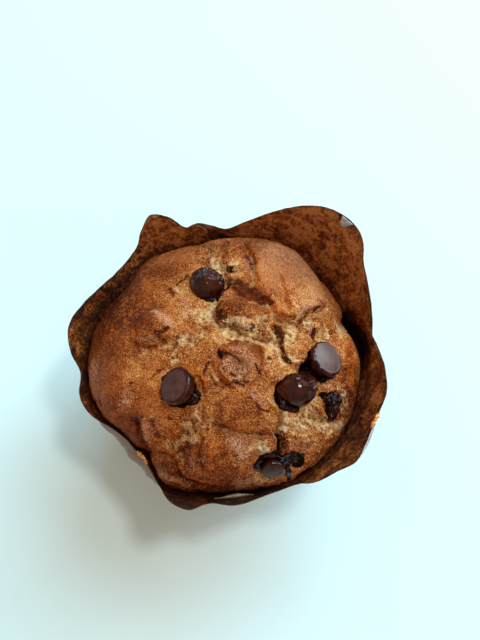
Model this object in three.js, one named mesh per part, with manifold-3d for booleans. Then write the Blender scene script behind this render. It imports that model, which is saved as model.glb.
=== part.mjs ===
// A chocolate chip muffin in the tulip paper case that it was baked in.
// Millimetres, +Z up. The origin is the centre of the flat base that the case stands on.
// The case is one pleated shell, the muffin is one solid that fills it and domes over its
// shoulder, and six chocolate chips sit in pockets in the crust.

import * as THREE from "three";
import { mergeVertices } from "three/addons/utils/BufferGeometryUtils.js";
import Module from "manifold-3d";

// ---- Driving dimensions ----
const BASE_RADIUS = 25; // outside of the case where it meets the table
const PAPER = 0.8; // wall of the case's solid
const CLEARANCE = 0.35; // air left between two neighbouring solids
const BELLY_HEIGHT = 45; // where the straight flared wall ends
const SHOULDER_HEIGHT = 54; // where the crust is widest
const DOME_RISE = 24; // from the shoulder to the top of the crust
const DOME_POWER = 2.3; // above 2 the crown is flatter than an ellipse
const BELLY_TUCK = 3.2; // how much narrower the belly is than the shoulder
const PLEATS = 24;
const PLEAT_DEPTH = 0.7;

// The edge of the crust from above: azimuth in degrees and radius.
const CRUST_OUTLINE = [
  [0, 40.6], [9, 39.5], [20, 37.9], [32, 38.8], [46, 39.0], [58, 40.9], [67, 41.1], [79, 39.6],
  [92, 38.7], [104, 37.8], [116, 38.5], [128, 39.6], [143, 37.7], [158, 39.8], [175, 40.8],
  [191, 40.7], [203, 39.2], [212, 36.4], [220, 34.8], [228, 34.6], [235, 36.6], [242, 39.3],
  [249, 39.8], [262, 38.5], [277, 37.9], [290, 39.0], [304, 39.9], [320, 40.4], [334, 40.7],
  [348, 40.5],
];

// The free edge of the paper: azimuth in degrees, radius and height. The sheet's four corners
// stand up as petals, at about 48, 118 with 170, 257, and 320 with 346 degrees.
const CASE_RIM = [
  [1, 45.5, 66.5], [10, 43.8, 64.5], [19, 44.9, 73], [31, 47.6, 76], [38, 49.7, 82], [45, 50.8, 82.5],
  [52, 50.6, 81], [59, 49.8, 76], [68, 47.2, 70], [81, 43.3, 62.5], [90, 40.9, 57.5], [96, 41.3, 60],
  [102, 41.9, 64], [106, 41.8, 63.5], [112, 44.4, 70], [118, 45.9, 73], [123, 44.8, 67.5],
  [128, 43.0, 61.5], [137, 41.8, 61], [148, 42.3, 63.5], [158, 44.2, 64.5], [166, 45.6, 67],
  [171, 45.7, 66.5], [178, 44.3, 62], [184, 42.5, 57.5], [193, 43.2, 58.5], [201, 42.3, 58],
  [210, 38.7, 57.5], [218, 36.4, 57.5], [226, 36.3, 57.5], [234, 38.0, 57.5], [242, 40.6, 55.5],
  [248, 43.4, 62], [253, 44.7, 67], [258, 44.8, 68.5], [262, 42.3, 62.5], [266, 41.3, 60],
  [274, 42.0, 63.5], [283, 41.4, 60.5], [292, 41.0, 57], [301, 41.5, 55.5], [304, 43.1, 60.5],
  [308, 44.6, 63.5], [314, 46.0, 69], [320, 47.8, 74], [327, 47.1, 71.5], [334, 46.7, 70],
  [340, 46.9, 72], [346, 47.4, 72.5], [354, 46.6, 69.5],
];

// On the lower left the paper curls in over the crust, so its belly stands out past its edge.
const CURL = { azimuth: 223, halfWidth: 30, bulge: 5.4 };

// Soft hills of the crust: centre x and y, radius along x and y, height.
const SWELLS = [
  { at: [17, 25], radius: [13, 9], height: 1.1 }, // smooth slab at the upper right
  { at: [-25, 8], radius: [12, 16], height: 0.6 }, // smooth left lobe
  { at: [6, -16], radius: [9, 5.5], height: 1.1 }, // slab below the centre
  { at: [0, -30], radius: [9, 5], height: 0.9 }, // slab at the front
  { at: [28, -22], radius: [7, 6], height: 0.6 }, // right front lobe
  { at: [36, 4], radius: [4, 7], height: 0.9 }, // right lobe
  { at: [-20, 6], radius: [4.2, 4], height: 1.7 }, // a chip that the batter covered
  { at: [24.4, 8.8], radius: [2.2, 2.6], height: 1.0 }, // a smaller covered chip
  { at: [-32, -12], radius: [6, 7], height: 0.7 }, // lower left lobe
];

// Cracks: the route, the groove's half width and depth, and how much higher the left side of the
// route stands than its right side.
const CRACKS = [
  {
    route: [[-0.5, 18.8], [6, 15.4], [11.7, 13.4], [18.3, 9.2], [22.7, 12], [27.8, 14.6], [31, 16]],
    halfWidth: 1.1, depth: 0.7, step: 2.2, // lower edge of the upper right slab
  },
  {
    route: [[4.6, 34.8], [7.6, 27.1], [8.1, 22.5], [5, 18.5]],
    halfWidth: 1.2, depth: 0.8, step: 1.5, // left edge of the same slab
  },
  {
    route: [[-1.6, 14.4], [-1.6, 10.5], [0.5, 7.6], [5, 6.3], [10.8, 5.3], [15.9, 6.4]],
    halfWidth: 1.2, depth: 1.4, step: 1.8, // edge of the middle terrace
  },
  {
    route: [[-0.4, -20.2], [5.2, -22.5], [11.6, -23.5], [14.6, -22.7]],
    halfWidth: 1.1, depth: 0.9, step: 1.8, // lower edge of the slab below the centre
  },
  { route: [[15.7, 6.7], [16.8, 2], [18.4, -2.4], [22.5, -4.5]], halfWidth: 1.3, depth: 2.4, step: 0 },
  { route: [[22.5, 11.8], [22, 9.6], [25.2, 5.6], [26.8, 2.2]], halfWidth: 1.1, depth: 1.5, step: 0 },
  { route: [[18.8, -16.5], [15, -22.6], [17, -26], [16.4, -28.6]], halfWidth: 1.2, depth: 2.2, step: 0 },
  { route: [[-9.3, -15.6], [-6.5, -20.6], [-10.6, -25], [-12.3, -30.4]], halfWidth: 2.2, depth: 1.7, step: 0 },
  { route: [[-6.5, -20.6], [-0.4, -20.2]], halfWidth: 1.6, depth: 1.1, step: 0 },
  { route: [[-17.5, 1], [-12.2, 1.9], [-4.3, 6.1]], halfWidth: 1.9, depth: 1.2, step: 0 },
  { route: [[-25.6, -13.4], [-23.3, -18], [-21.7, -24.6]], halfWidth: 1.2, depth: 1.1, step: 0 },
  { route: [[-23.5, -29], [-18.6, -27.6], [-12.8, -29.4]], halfWidth: 1.6, depth: 1.9, step: 0 },
  { route: [[-13.7, -29.9], [-8.1, -34.2], [-1, -36]], halfWidth: 1.2, depth: 1.1, step: 0 },
  { route: [[-3, 32], [-0.7, 25.5], [1.5, 18.5]], halfWidth: 1.7, depth: 1.7, step: 0 },
];
const STEP_REACH = 5; // how far a step's height takes to fade out beside its crack

// Where a chip under the crust was pressed flat it left a ring.
const RING_MARK = { at: [4.4, -4.8], radius: 5.9, halfWidth: 1.0, depth: 0.6 };

// Fine unevenness of the crust: waves whose directions turn by the golden angle.
const WAVE_COUNT = 9;
const WAVE_LONGEST = 17;
const WAVE_SHORTEST = 6;
const WAVE_HEIGHT = 0.12;

// Chips: the crust point that a chip sits at, how far the middle of its flat foot stands over the
// crust, the way that the foot faces and the chip's size. Two stand on their foot, tip up.
const CHIP_RADIUS = 5.4;
const CHIP_HEIGHT = 6.2;
const CHIPS = [
  { name: "chip_back", at: [-4.8, 19.7], facing: [-0.12, -0.3, -1], lift: -1.6, size: 0.98 },
  { name: "chip_left", at: [-13.3, -10.3], facing: [-0.61, 0.17, 0.77], lift: 2.6, size: 1.0 },
  { name: "chip_right", at: [29.7, -1.6], facing: [0.59, 0.21, 0.78], lift: 1.7, size: 0.97 },
  { name: "chip_middle", at: [20.8, -11.2], facing: [-0.3, -0.35, -1], lift: -1.2, size: 1.1 },
  { name: "chip_front", at: [14, -31.9], facing: [0, -0.8, 0.6], lift: 1.4, size: 0.88 },
];
const BROKEN_CHIP = { name: "chip_broken", at: [31, -14.6], radii: [2.7, 4.1, 2.8], lift: 0.3, roughness: 0.16 };

// ---- Resolution of the faceted solids ----
const COLUMNS = 144; // round the case and the crust, six for each ring of the dome
const DOME_RINGS = COLUMNS / 6;
const SIDE_ROWS = 6; // from the foot to the shoulder, on the muffin and on the case
const RIM_ROWS = 3; // from the shoulder to the free edge of the case
const CHIP_SIDES = 16;

// ---- Materials ----
const CRUST = { color: 0x9a5f30, roughness: 0.75, metalness: 0 };
const CASE_PAPER = { color: 0x55301d, roughness: 0.6, metalness: 0 };
const CHOCOLATE = { color: 0x2b1512, roughness: 0.3, metalness: 0 };

const TURN = 360;
const radians = THREE.MathUtils.degToRad;
const smoothstep = THREE.MathUtils.smoothstep;

// A smooth closed curve through stations of [azimuth, value, value ...], read at any azimuth.
function around(stations, column) {
  const count = stations.length;
  const at = (index) => {
    const lap = Math.floor(index / count);
    const station = stations[index - lap * count];
    return { azimuth: station[0] + lap * TURN, value: station[column] };
  };
  const slope = (index) => {
    const before = at(index - 1);
    const after = at(index + 1);
    return (after.value - before.value) / (after.azimuth - before.azimuth);
  };
  return (azimuth) => {
    const angle = THREE.MathUtils.euclideanModulo(azimuth, TURN);
    let index = -1;
    while (at(index + 1).azimuth <= angle) index += 1;
    const from = at(index);
    const to = at(index + 1);
    const span = to.azimuth - from.azimuth;
    const t = (angle - from.azimuth) / span;
    const t2 = t * t;
    const t3 = t2 * t;
    return (2 * t3 - 3 * t2 + 1) * from.value + (t3 - 2 * t2 + t) * span * slope(index)
      + (3 * t2 - 2 * t3) * to.value + (t3 - t2) * span * slope(index + 1);
  };
}

const crustRadius = around(CRUST_OUTLINE, 1);
const rimRadius = around(CASE_RIM, 1);
const rimHeight = around(CASE_RIM, 2);

// How much of the curl there is at an azimuth, from 0 to 1.
function curlAt(azimuth) {
  const off = Math.abs(azimuth - CURL.azimuth) / CURL.halfWidth;
  return off < 1 ? 0.5 + 0.5 * Math.cos(Math.PI * off) : 0;
}

// ---- The case's inner wall ----
// Radius of the inner face at an azimuth and a height, up to the rim.
function innerWallRadius(azimuth, height) {
  const foot = BASE_RADIUS - PAPER;
  const shoulder = crustRadius(azimuth) + CLEARANCE;
  const belly = shoulder - BELLY_TUCK + CURL.bulge * curlAt(azimuth);
  if (height <= BELLY_HEIGHT) {
    const up = height / BELLY_HEIGHT;
    const pleat = PLEAT_DEPTH * Math.cos(radians(PLEATS * azimuth)) * smoothstep(1 - up, 0, 0.5);
    return foot + (belly - foot) * up + pleat;
  }
  if (height <= SHOULDER_HEIGHT) {
    const up = (height - BELLY_HEIGHT) / (SHOULDER_HEIGHT - BELLY_HEIGHT);
    return belly + (shoulder - belly) * Math.sin(up * Math.PI / 2);
  }
  const up = (height - SHOULDER_HEIGHT) / Math.max(rimHeight(azimuth) - SHOULDER_HEIGHT, 1);
  return shoulder + (rimRadius(azimuth) - PAPER - shoulder) * Math.min(up, 1);
}

function pointAt(azimuth, radius, height) {
  const angle = radians(azimuth);
  return new THREE.Vector3(radius * Math.cos(angle), radius * Math.sin(angle), height);
}

// ---- The crust ----
// Distance from a plan point to a crack's route, and which side of it the point is on.
function besideRoute(x, y, route) {
  let nearest = { distance: Infinity, side: 0, end: 0 };
  for (let index = 0; index + 1 < route.length; index += 1) {
    const [ax, ay] = route[index];
    const [bx, by] = route[index + 1];
    const dx = bx - ax;
    const dy = by - ay;
    const along = ((x - ax) * dx + (y - ay) * dy) / (dx * dx + dy * dy);
    const t = THREE.MathUtils.clamp(along, 0, 1);
    const distance = Math.hypot(x - ax - t * dx, y - ay - t * dy);
    if (distance < nearest.distance) {
      const beyond = (index === 0 && along < 0) || (index + 2 === route.length && along > 1);
      nearest = { distance, side: Math.sign(dx * (y - ay) - dy * (x - ax)), end: beyond ? 1 : 0 };
    }
  }
  return nearest;
}

function crackRelief(x, y, crack) {
  const { distance, side, end } = besideRoute(x, y, crack.route);
  const groove = -crack.depth * Math.exp(-((distance / crack.halfWidth) ** 2));
  const rise = 1 - Math.exp(-((distance / crack.halfWidth) ** 2));
  const fade = Math.exp(-((distance / STEP_REACH) ** 2)) * (1 - end);
  return groove + 0.5 * crack.step * side * rise * fade;
}

function swellRelief(x, y, swell) {
  const u = (x - swell.at[0]) / swell.radius[0];
  const v = (y - swell.at[1]) / swell.radius[1];
  return swell.height * Math.exp(-(u * u + v * v));
}

function waveRelief(x, y) {
  const goldenAngle = Math.PI * (3 - Math.sqrt(5));
  let height = 0;
  for (let index = 0; index < WAVE_COUNT; index += 1) {
    const part = index / (WAVE_COUNT - 1);
    const length = WAVE_LONGEST * (WAVE_SHORTEST / WAVE_LONGEST) ** part;
    const angle = index * goldenAngle;
    const travel = x * Math.cos(angle) + y * Math.sin(angle);
    height += WAVE_HEIGHT * Math.sin(2 * Math.PI * travel / length + index * index);
  }
  return height;
}

function ringRelief(x, y) {
  const off = Math.hypot(x - RING_MARK.at[0], y - RING_MARK.at[1]) - RING_MARK.radius;
  return -RING_MARK.depth * Math.exp(-((off / RING_MARK.halfWidth) ** 2));
}

// How far the crust stands off the smooth dome at a plan point.
function crustRelief(x, y) {
  let height = waveRelief(x, y) + ringRelief(x, y);
  for (const swell of SWELLS) height += swellRelief(x, y, swell);
  for (const crack of CRACKS) height += crackRelief(x, y, crack);
  return height;
}

// The smooth dome over a plan point, with the way that it faces there.
function domeAt(azimuth, fraction) {
  const radius = fraction * crustRadius(azimuth);
  const rise = DOME_RISE * Math.sqrt(Math.max(1 - fraction ** DOME_POWER, 0));
  const point = pointAt(azimuth, radius, SHOULDER_HEIGHT + rise);
  const across = crustRadius(azimuth) ** 2;
  const normal = new THREE.Vector3(point.x / across, point.y / across, rise / DOME_RISE ** 2).normalize();
  return { point, normal };
}

// The crust itself. The relief fades out towards the shoulder, where the paper holds the muffin.
function crustAt(azimuth, fraction) {
  const { point, normal } = domeAt(azimuth, fraction);
  const hold = 1 - smoothstep(fraction, 0.86, 1);
  return point.addScaledVector(normal, hold * crustRelief(point.x, point.y));
}

function crustOver(x, y) {
  const azimuth = THREE.MathUtils.radToDeg(Math.atan2(y, x));
  return crustAt(azimuth, Math.hypot(x, y) / crustRadius(azimuth));
}

// ---- Mesh helpers ----
function geometryFrom(points, triangles) {
  const geometry = new THREE.BufferGeometry();
  const flat = points.flatMap((point) => [point.x, point.y, point.z]);
  geometry.setAttribute("position", new THREE.Float32BufferAttribute(flat, 3));
  geometry.setIndex(triangles.flat());
  return geometry;
}

// Two triangles for each cell between two rings that have the same number of points. Every band has
// its diagonals the same way round, so that the faces of nested walls lie alike.
function bandBetween(lower, upper, count, facingOut = true) {
  const triangles = [];
  for (let index = 0; index < count; index += 1) {
    const next = (index + 1) % count;
    triangles.push([lower + index, lower + next, upper + next]);
    triangles.push([lower + index, upper + next, upper + index]);
  }
  return facingOut ? triangles : triangles.map(([a, b, c]) => [a, c, b]);
}

// Triangles between two rings of a disc, whose inner ring has six points fewer.
function discBand(inner, innerCount, outer, outerCount) {
  const triangles = [];
  const perSide = outerCount / 6;
  for (let side = 0; side < 6; side += 1) {
    for (let step = 0; step < perSide; step += 1) {
      const o = side * perSide + step;
      const i = side * (perSide - 1) + step;
      const outerNext = outer + ((o + 1) % outerCount);
      const innerHere = inner + (i % innerCount);
      triangles.push([innerHere, outer + o, outerNext]);
      if (step + 1 < perSide) triangles.push([innerHere, outerNext, inner + ((i + 1) % innerCount)]);
    }
  }
  return triangles;
}

function fan(centre, ring, count, facingUp) {
  const triangles = [];
  for (let index = 0; index < count; index += 1) {
    const next = (index + 1) % count;
    triangles.push(facingUp ? [centre, ring + index, ring + next] : [centre, ring + next, ring + index]);
  }
  return triangles;
}

const COLUMN_AZIMUTHS = Array.from({ length: COLUMNS }, (_, index) => (TURN * index) / COLUMNS);

// The muffin and the case have their side rows at the same heights, so that they nest.
function sideHeight(row, foot) {
  return row === 0 ? foot : SHOULDER_HEIGHT * (row / SIDE_ROWS);
}

function makeMesh(name, geometry, finish) {
  const mesh = new THREE.Mesh(geometry, new THREE.MeshStandardMaterial(finish));
  mesh.name = name;
  return mesh;
}

// ---- Muffin ----
function muffinGeometry() {
  const points = [crustOver(0, 0)];
  const triangles = [];
  let inner = 0;
  for (let ring = 1; ring <= DOME_RINGS; ring += 1) {
    const outer = points.length;
    const count = 6 * ring;
    const fraction = Math.sin((ring / DOME_RINGS) * Math.PI / 2);
    for (let index = 0; index < count; index += 1) {
      points.push(crustAt((TURN * index) / count, fraction));
    }
    const band = ring === 1 ? fan(0, outer, count, true) : discBand(inner, count - 6, outer, count);
    triangles.push(...band);
    inner = outer;
  }
  const foot = PAPER + CLEARANCE;
  let upper = inner;
  for (let row = SIDE_ROWS - 1; row >= 0; row -= 1) {
    const height = sideHeight(row, foot);
    const lower = points.length;
    for (const azimuth of COLUMN_AZIMUTHS) {
      points.push(pointAt(azimuth, innerWallRadius(azimuth, height) - CLEARANCE, height));
    }
    triangles.push(...bandBetween(lower, upper, COLUMNS));
    upper = lower;
  }
  const centre = points.length;
  points.push(new THREE.Vector3(0, 0, foot));
  triangles.push(...fan(centre, upper, COLUMNS, false));
  return geometryFrom(points, triangles);
}

// ---- Paper case ----
function caseGeometry() {
  const points = [];
  const triangles = [];
  const rows = SIDE_ROWS + RIM_ROWS;
  const wall = (thickness, floor) => {
    const rings = [];
    for (let row = 0; row <= rows; row += 1) {
      rings.push(points.length);
      for (const azimuth of COLUMN_AZIMUTHS) {
        const overShoulder = Math.max(row - SIDE_ROWS, 0) / RIM_ROWS;
        const height = sideHeight(Math.min(row, SIDE_ROWS), floor)
          + (rimHeight(azimuth) - SHOULDER_HEIGHT) * overShoulder;
        points.push(pointAt(azimuth, innerWallRadius(azimuth, height) + thickness, height));
      }
    }
    return rings;
  };
  const outside = wall(PAPER, 0);
  const inside = wall(0, PAPER);
  for (let row = 0; row < rows; row += 1) {
    triangles.push(...bandBetween(outside[row], outside[row + 1], COLUMNS));
    triangles.push(...bandBetween(inside[row], inside[row + 1], COLUMNS, false));
  }
  triangles.push(...bandBetween(outside[rows], inside[rows], COLUMNS));
  const under = points.push(new THREE.Vector3(0, 0, 0)) - 1;
  triangles.push(...fan(under, outside[0], COLUMNS, false));
  const floor = points.push(new THREE.Vector3(0, 0, PAPER)) - 1;
  triangles.push(...fan(floor, inside[0], COLUMNS, true));
  return geometryFrom(points, triangles);
}

// ---- Chips ----
// A chip points its tip along -Z and has its flat foot on top, at its origin. Baking has slumped it,
// so its tip is blunt.
function chipGeometry(radius, height, grow) {
  const profile = [
    [0, -height - grow],
    [radius * 0.3 + grow, -height * 0.95 - grow],
    [radius * 0.62 + grow, -height * 0.7 - grow * 0.5],
    [radius * 0.88 + grow, -height * 0.36],
    [radius + grow, -height * 0.1],
    [radius * 0.94 + grow, grow],
    [0, grow],
  ];
  const lathe = new THREE.LatheGeometry(profile.map(([r, z]) => new THREE.Vector2(r, z)), CHIP_SIDES);
  return lathe.rotateX(Math.PI / 2);
}

// The broken chip is a lump whose surface steps in and out by a fixed rule.
function lumpGeometry({ radii, roughness }, grow) {
  const lump = new THREE.SphereGeometry(1, 10, 8);
  const position = lump.attributes.position;
  for (let index = 0; index < position.count; index += 1) {
    const x = position.getX(index);
    const y = position.getY(index);
    const z = position.getZ(index);
    const bump = 1 + roughness * Math.sin(5 * x + 2 * z) * Math.cos(4 * y + 3 * z);
    position.setXYZ(
      index, x * (radii[0] * bump + grow), y * (radii[1] * bump + grow), z * (radii[2] * bump + grow),
    );
  }
  return lump;
}

function seat(mesh, at, lift, facing) {
  const crust = crustOver(at[0], at[1]);
  mesh.position.set(crust.x, crust.y, crust.z + lift);
  if (facing) {
    const up = new THREE.Vector3(0, 0, 1);
    mesh.quaternion.setFromUnitVectors(up, new THREE.Vector3(...facing).normalize());
  }
  mesh.updateMatrixWorld();
}

function makeChip({ name, at, facing, lift, size }) {
  const radius = CHIP_RADIUS * size;
  const height = CHIP_HEIGHT * size;
  const chip = makeMesh(name, chipGeometry(radius, height, 0), CHOCOLATE);
  seat(chip, at, lift, facing);
  return { chip, pocket: chipGeometry(radius, height, CLEARANCE).applyMatrix4(chip.matrixWorld) };
}

function makeBrokenChip(broken) {
  const chip = makeMesh(broken.name, lumpGeometry(broken, 0), CHOCOLATE);
  seat(chip, broken.at, broken.lift);
  return { chip, pocket: lumpGeometry(broken, CLEARANCE).applyMatrix4(chip.matrixWorld) };
}

// ---- Boolean cuts ----
const wasm = await Module();
wasm.setup();

function toSolid(geometry) {
  const bare = geometry.clone();
  bare.deleteAttribute("normal");
  bare.deleteAttribute("uv");
  const merged = mergeVertices(bare, 1e-4);
  return new wasm.Manifold(new wasm.Mesh({
    numProp: 3,
    vertProperties: new Float32Array(merged.attributes.position.array),
    triVerts: new Uint32Array(merged.index.array),
  }));
}

function toGeometry(solid) {
  const mesh = solid.getMesh();
  const geometry = new THREE.BufferGeometry();
  geometry.setAttribute("position", new THREE.BufferAttribute(mesh.vertProperties, 3));
  geometry.setIndex(new THREE.BufferAttribute(mesh.triVerts, 1));
  geometry.computeVertexNormals();
  return geometry;
}

// ---- Assembly ----
const seated = [...CHIPS.map(makeChip), makeBrokenChip(BROKEN_CHIP)];
const pocketed = seated.reduce((solid, { pocket }) => solid.subtract(toSolid(pocket)), toSolid(muffinGeometry()));

const model = new THREE.Group();
model.add(makeMesh("paper_case", caseGeometry(), CASE_PAPER));
model.add(makeMesh("muffin", toGeometry(pocketed), CRUST));
for (const { chip } of seated) model.add(chip);

export default model;
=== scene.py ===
"""A chocolate chip muffin in a tulip paper case, seen from almost straight above.

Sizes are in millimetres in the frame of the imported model: +Z up, with the origin at the centre of the
flat base. Azimuths are in degrees from +X towards +Y. Every finish is made of nodes.
"""
import itertools
import math

import bpy
import numpy as np
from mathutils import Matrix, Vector


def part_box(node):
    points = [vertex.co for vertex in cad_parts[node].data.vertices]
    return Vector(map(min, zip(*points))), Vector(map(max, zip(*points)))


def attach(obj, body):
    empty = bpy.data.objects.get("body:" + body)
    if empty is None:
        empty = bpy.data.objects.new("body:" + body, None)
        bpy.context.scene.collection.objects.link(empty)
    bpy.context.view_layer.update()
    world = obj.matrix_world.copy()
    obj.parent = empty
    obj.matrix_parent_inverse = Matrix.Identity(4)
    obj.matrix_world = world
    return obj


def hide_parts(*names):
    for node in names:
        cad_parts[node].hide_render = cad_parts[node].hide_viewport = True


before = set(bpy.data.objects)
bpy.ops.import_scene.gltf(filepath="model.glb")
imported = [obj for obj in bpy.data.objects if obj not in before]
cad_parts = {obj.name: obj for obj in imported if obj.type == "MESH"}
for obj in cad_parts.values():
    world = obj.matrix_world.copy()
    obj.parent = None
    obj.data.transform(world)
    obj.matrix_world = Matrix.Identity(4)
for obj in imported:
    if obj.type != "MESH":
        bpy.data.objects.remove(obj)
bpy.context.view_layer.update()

MM = 0.001
TURN = 360.0
BODY = "root"

# ---- Sizes of the muffin and its case ----
FOOT_RADIUS = 24.6  # inside of the case where it meets the table
SHEET = 0.25  # thickness of the baking paper
CLEARANCE = 0.35  # air between the muffin's side and the paper
TOUCH = 0.08  # the same at the shoulder
FOOT_GAP = 0.9  # between the muffin's underside and the paper
PLEAT_ROOM = 1.3  # how much further in the muffin's side stays where the pleats are deep
BELLY_HEIGHT = 45.0  # where the straight flared wall ends
BELLY_TUCK = 3.2  # how much narrower the wall is there than at the shoulder
SHOULDER_HEIGHT = 54.0  # where the crust is widest
DOME_RISE = 24.0
DOME_POWER = 2.3  # 2 makes the dome round, and more makes it flatter on top
PLEATS = 24
PLEAT_DEPTH = 0.9
PLEAT_FALL = 0.14  # share of a pleat that its quick fall takes
# How far the wall bulges out below the shoulder at the lower left: azimuth and bulge.
CURL = [
    (0, 0), (90, 0), (186, 0), (195, 0.8), (204, 3.5), (212, 4.0), (220, 4.6), (226, 5.9), (229, 6.6),
    (232, 5.8), (237, 4.4), (243, 2.5), (254, 0), (300, 0),
]

# Seeds of the noise and of the random draws, so that every run gives the same muffin.
SEEDS = dict(
    warp=11, warp_across=15, lumps=20, rough=25, crumb=30, clods=35, pores=41, seams=45, beds=47, smears=50,
    coarse=55, dents=58, rosy=59, stains=60, sheens=64, scorches=68, browning=70, fine_browning=74, sway=80,
    crinkle=84, crease=88, cracks=90, edge=95, tears=97, chips=200, broken=303, broken_face=305,
    edge_crumbs=320, pools=400, pool_lumps=430, loose_crumbs=7,
)

# The edge of the crust from above: azimuth and radius.
CRUST_OUTLINE = [
    (0, 40.6), (9, 39.5), (18.5, 37.6), (23.5, 38.9), (32, 38.9), (46, 39.0), (58, 40.9), (67, 41.1),
    (79, 39.6), (92, 38.7), (104, 37.8), (116, 38.5), (128, 39.6), (143, 37.7), (158, 39.8), (175, 40.8),
    (191, 40.7), (203, 39.4), (212, 37.0), (219, 36.1), (224, 35.8), (229, 34.3), (235, 36.6), (242, 39.3),
    (249, 39.8), (262, 38.5), (277, 37.9), (290, 39.0), (304, 39.9), (320, 40.4), (334, 40.7), (348, 40.5),
]

# The free edge of the paper: azimuth at the foot, azimuth, radius and height at the edge, and how far
# the sheet stands off the crust at the shoulder. At two places the sheet runs back under itself in
# a fold, and its azimuth there falls and rises again.
CASE_EDGE = [
    (19, 8.4, 43.4, 64.8, 0.5), (20.5, 12, 43.6, 67.5, 0.4), (23, 18, 44.1, 72.5, 0.3),
    (31, 31, 47.2, 76.0, 0.1), (38, 38, 49.7, 82.0, 0.1), (45, 45, 50.8, 82.5, 0.0),
    (52, 52, 50.6, 81.0, 0.0), (59, 59, 49.8, 76.0, 0.0), (68, 68, 47.2, 70.0, 0.0),
    (80, 80, 43.3, 62.5, 0.2), (86, 89, 41.0, 58.5, 1.4), (90, 95, 41.4, 61.0, 2.4),
    (93, 101, 42.2, 63.5, 2.9), (95, 103, 42.0, 62.0, 2.6), (97, 99.5, 41.2, 61.0, 1.6),
    (98, 97.3, 40.3, 60.5, 0.8), (101, 99.5, 41.0, 63.0, 0.7), (103, 102.5, 41.8, 64.5, 0.1),
    (106, 106, 41.8, 63.5, 0.0), (112, 112, 44.4, 70.0, 0.0), (118, 118, 45.9, 73.0, 0.0),
    (123, 123, 44.8, 67.5, 0.0), (128, 128, 43.0, 61.5, 0.0), (137, 137, 41.8, 61.0, 0.0),
    (148, 148, 42.3, 63.5, 0.0), (158, 158, 44.2, 64.5, 0.0), (166, 166, 45.6, 67.0, 0.0),
    (171, 171, 45.7, 66.5, 0.0), (178, 178, 44.3, 62.0, 0.0), (184, 184, 42.5, 57.5, 0.0),
    (193, 193, 43.2, 58.5, 0.0), (201, 201, 42.0, 58.0, 0.0), (210, 210, 38.4, 57.5, 0.0),
    (218, 218, 36.6, 57.5, 0.0), (226, 226, 36.6, 57.5, 0.3), (234, 234, 37.6, 57.5, 0.2),
    (242, 242, 40.6, 55.5, 0.0), (248, 248, 43.4, 62.0, 0.0), (253, 253, 44.7, 67.0, 0.0),
    (258, 258, 44.8, 68.5, 0.0), (262, 262, 42.3, 62.5, 0.2), (266, 266, 41.3, 60.0, 0.8),
    (274, 274, 42.0, 63.5, 0.9), (283, 283, 41.4, 60.5, 0.8), (292, 292, 41.0, 57.0, 0.0),
    (301, 301, 41.5, 55.5, 0.0), (304, 304, 43.1, 60.5, 0.0), (308, 308, 44.6, 63.5, 0.0),
    (314, 314, 46.0, 69.0, 0.0), (320, 320, 47.8, 74.0, 0.0), (327, 327, 47.1, 71.5, 0.1),
    (334, 334, 46.7, 70.0, 0.1), (340, 340, 46.9, 72.0, 0.1), (346, 346, 47.4, 72.5, 0.2),
    (354, 354, 46.6, 69.5, 0.3), (361, 361, 45.4, 66.0, 1.2), (367, 367.5, 44.4, 62.5, 2.6),
    (371, 373, 43.4, 60.0, 3.4), (373.5, 377.5, 42.9, 58.5, 3.3), (375, 378, 42.6, 58.0, 2.4),
    (376, 374, 42.9, 59.5, 1.8), (377.5, 369, 43.2, 62.0, 1.4), (378.3, 367.4, 43.3, 63.8, 0.8),
]
# The crease of the first fold leans: its azimuth at the foot, how far on it is at the shoulder, its reach.
CREASE = dict(foot_azimuth=378.0, lean=15.0, reach=5.5)

# ---- The crust's relief ----
# Lumps: centre x and y, radius along x and y, height.
SWELLS = [
    (17, 25, 13, 9, 1.5), (-25, 8, 12, 16, 0.5), (6, -16, 9.5, 5.2, 1.5), (-1, -29.5, 8.5, 5.6, 1.5),
    (28, -23, 7.5, 5, 1.2), (35, 2, 3.6, 7, 0.8), (-20.0, 5.8, 4.8, 4.6, 0.7), (25.6, 8.0, 2.8, 2.8, 0.6),
    (-32, -10, 6, 8, 0.7), (-19.6, -20.4, 3.6, 5.4, 1.3), (-26.4, -15.4, 4.4, 2.6, 0.7),
    (2.6, 31.2, 3.8, 3.0, 0.9), (5, 11, 6.6, 3.4, 0.8), (4.9, -4, 6, 6, 0.6), (-9, -9, 4, 5, 0.5),
    (-14, 33, 8, 5, 0.4), (-14, -32.6, 6, 3, 1.0), (-17.4, 11.4, 2.6, 3.0, 0.9),
    (11.6, -26.8, 2.6, 2.0, 0.8), (-4.5, 4.0, 2.6, 2.2, 0.6), (11.8, -1, 3, 4, 0.5),
    (26.8, -16.6, 1.8, 1.6, 0.9), (-16.4, -16.8, 1.8, 1.2, 0.7), (-26, 22, 9, 5, 0.5),
    (31.6, 7.6, 2.2, 3, 0.7),
]

# Bumps with steep sides: centre x and y, radius along x and y, height.
BUMPS = [
    (-19.9, 5.9, 5.3, 5.2, 2.1), (11.8, -26.6, 1.7, 1.3, 1.0), (26.8, -16.6, 1.6, 1.4, 0.8),
    (25.8, 7.4, 2.6, 2.4, 0.6), (2.4, 31.0, 3.9, 3.2, 0.8), (-19.6, -20.4, 3.0, 4.6, 0.8),
    (-26.6, -15.2, 4.0, 2.0, 0.6), (6.4, -16.4, 8.4, 4.4, 0.5), (-2.6, -28.6, 7.2, 5.4, 0.6),
    (34.6, 2.0, 2.4, 6.4, 0.7), (12.6, 12.0, 2.6, 1.8, 0.5), (3.4, 13.0, 3.4, 3.0, 0.5),
]

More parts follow.
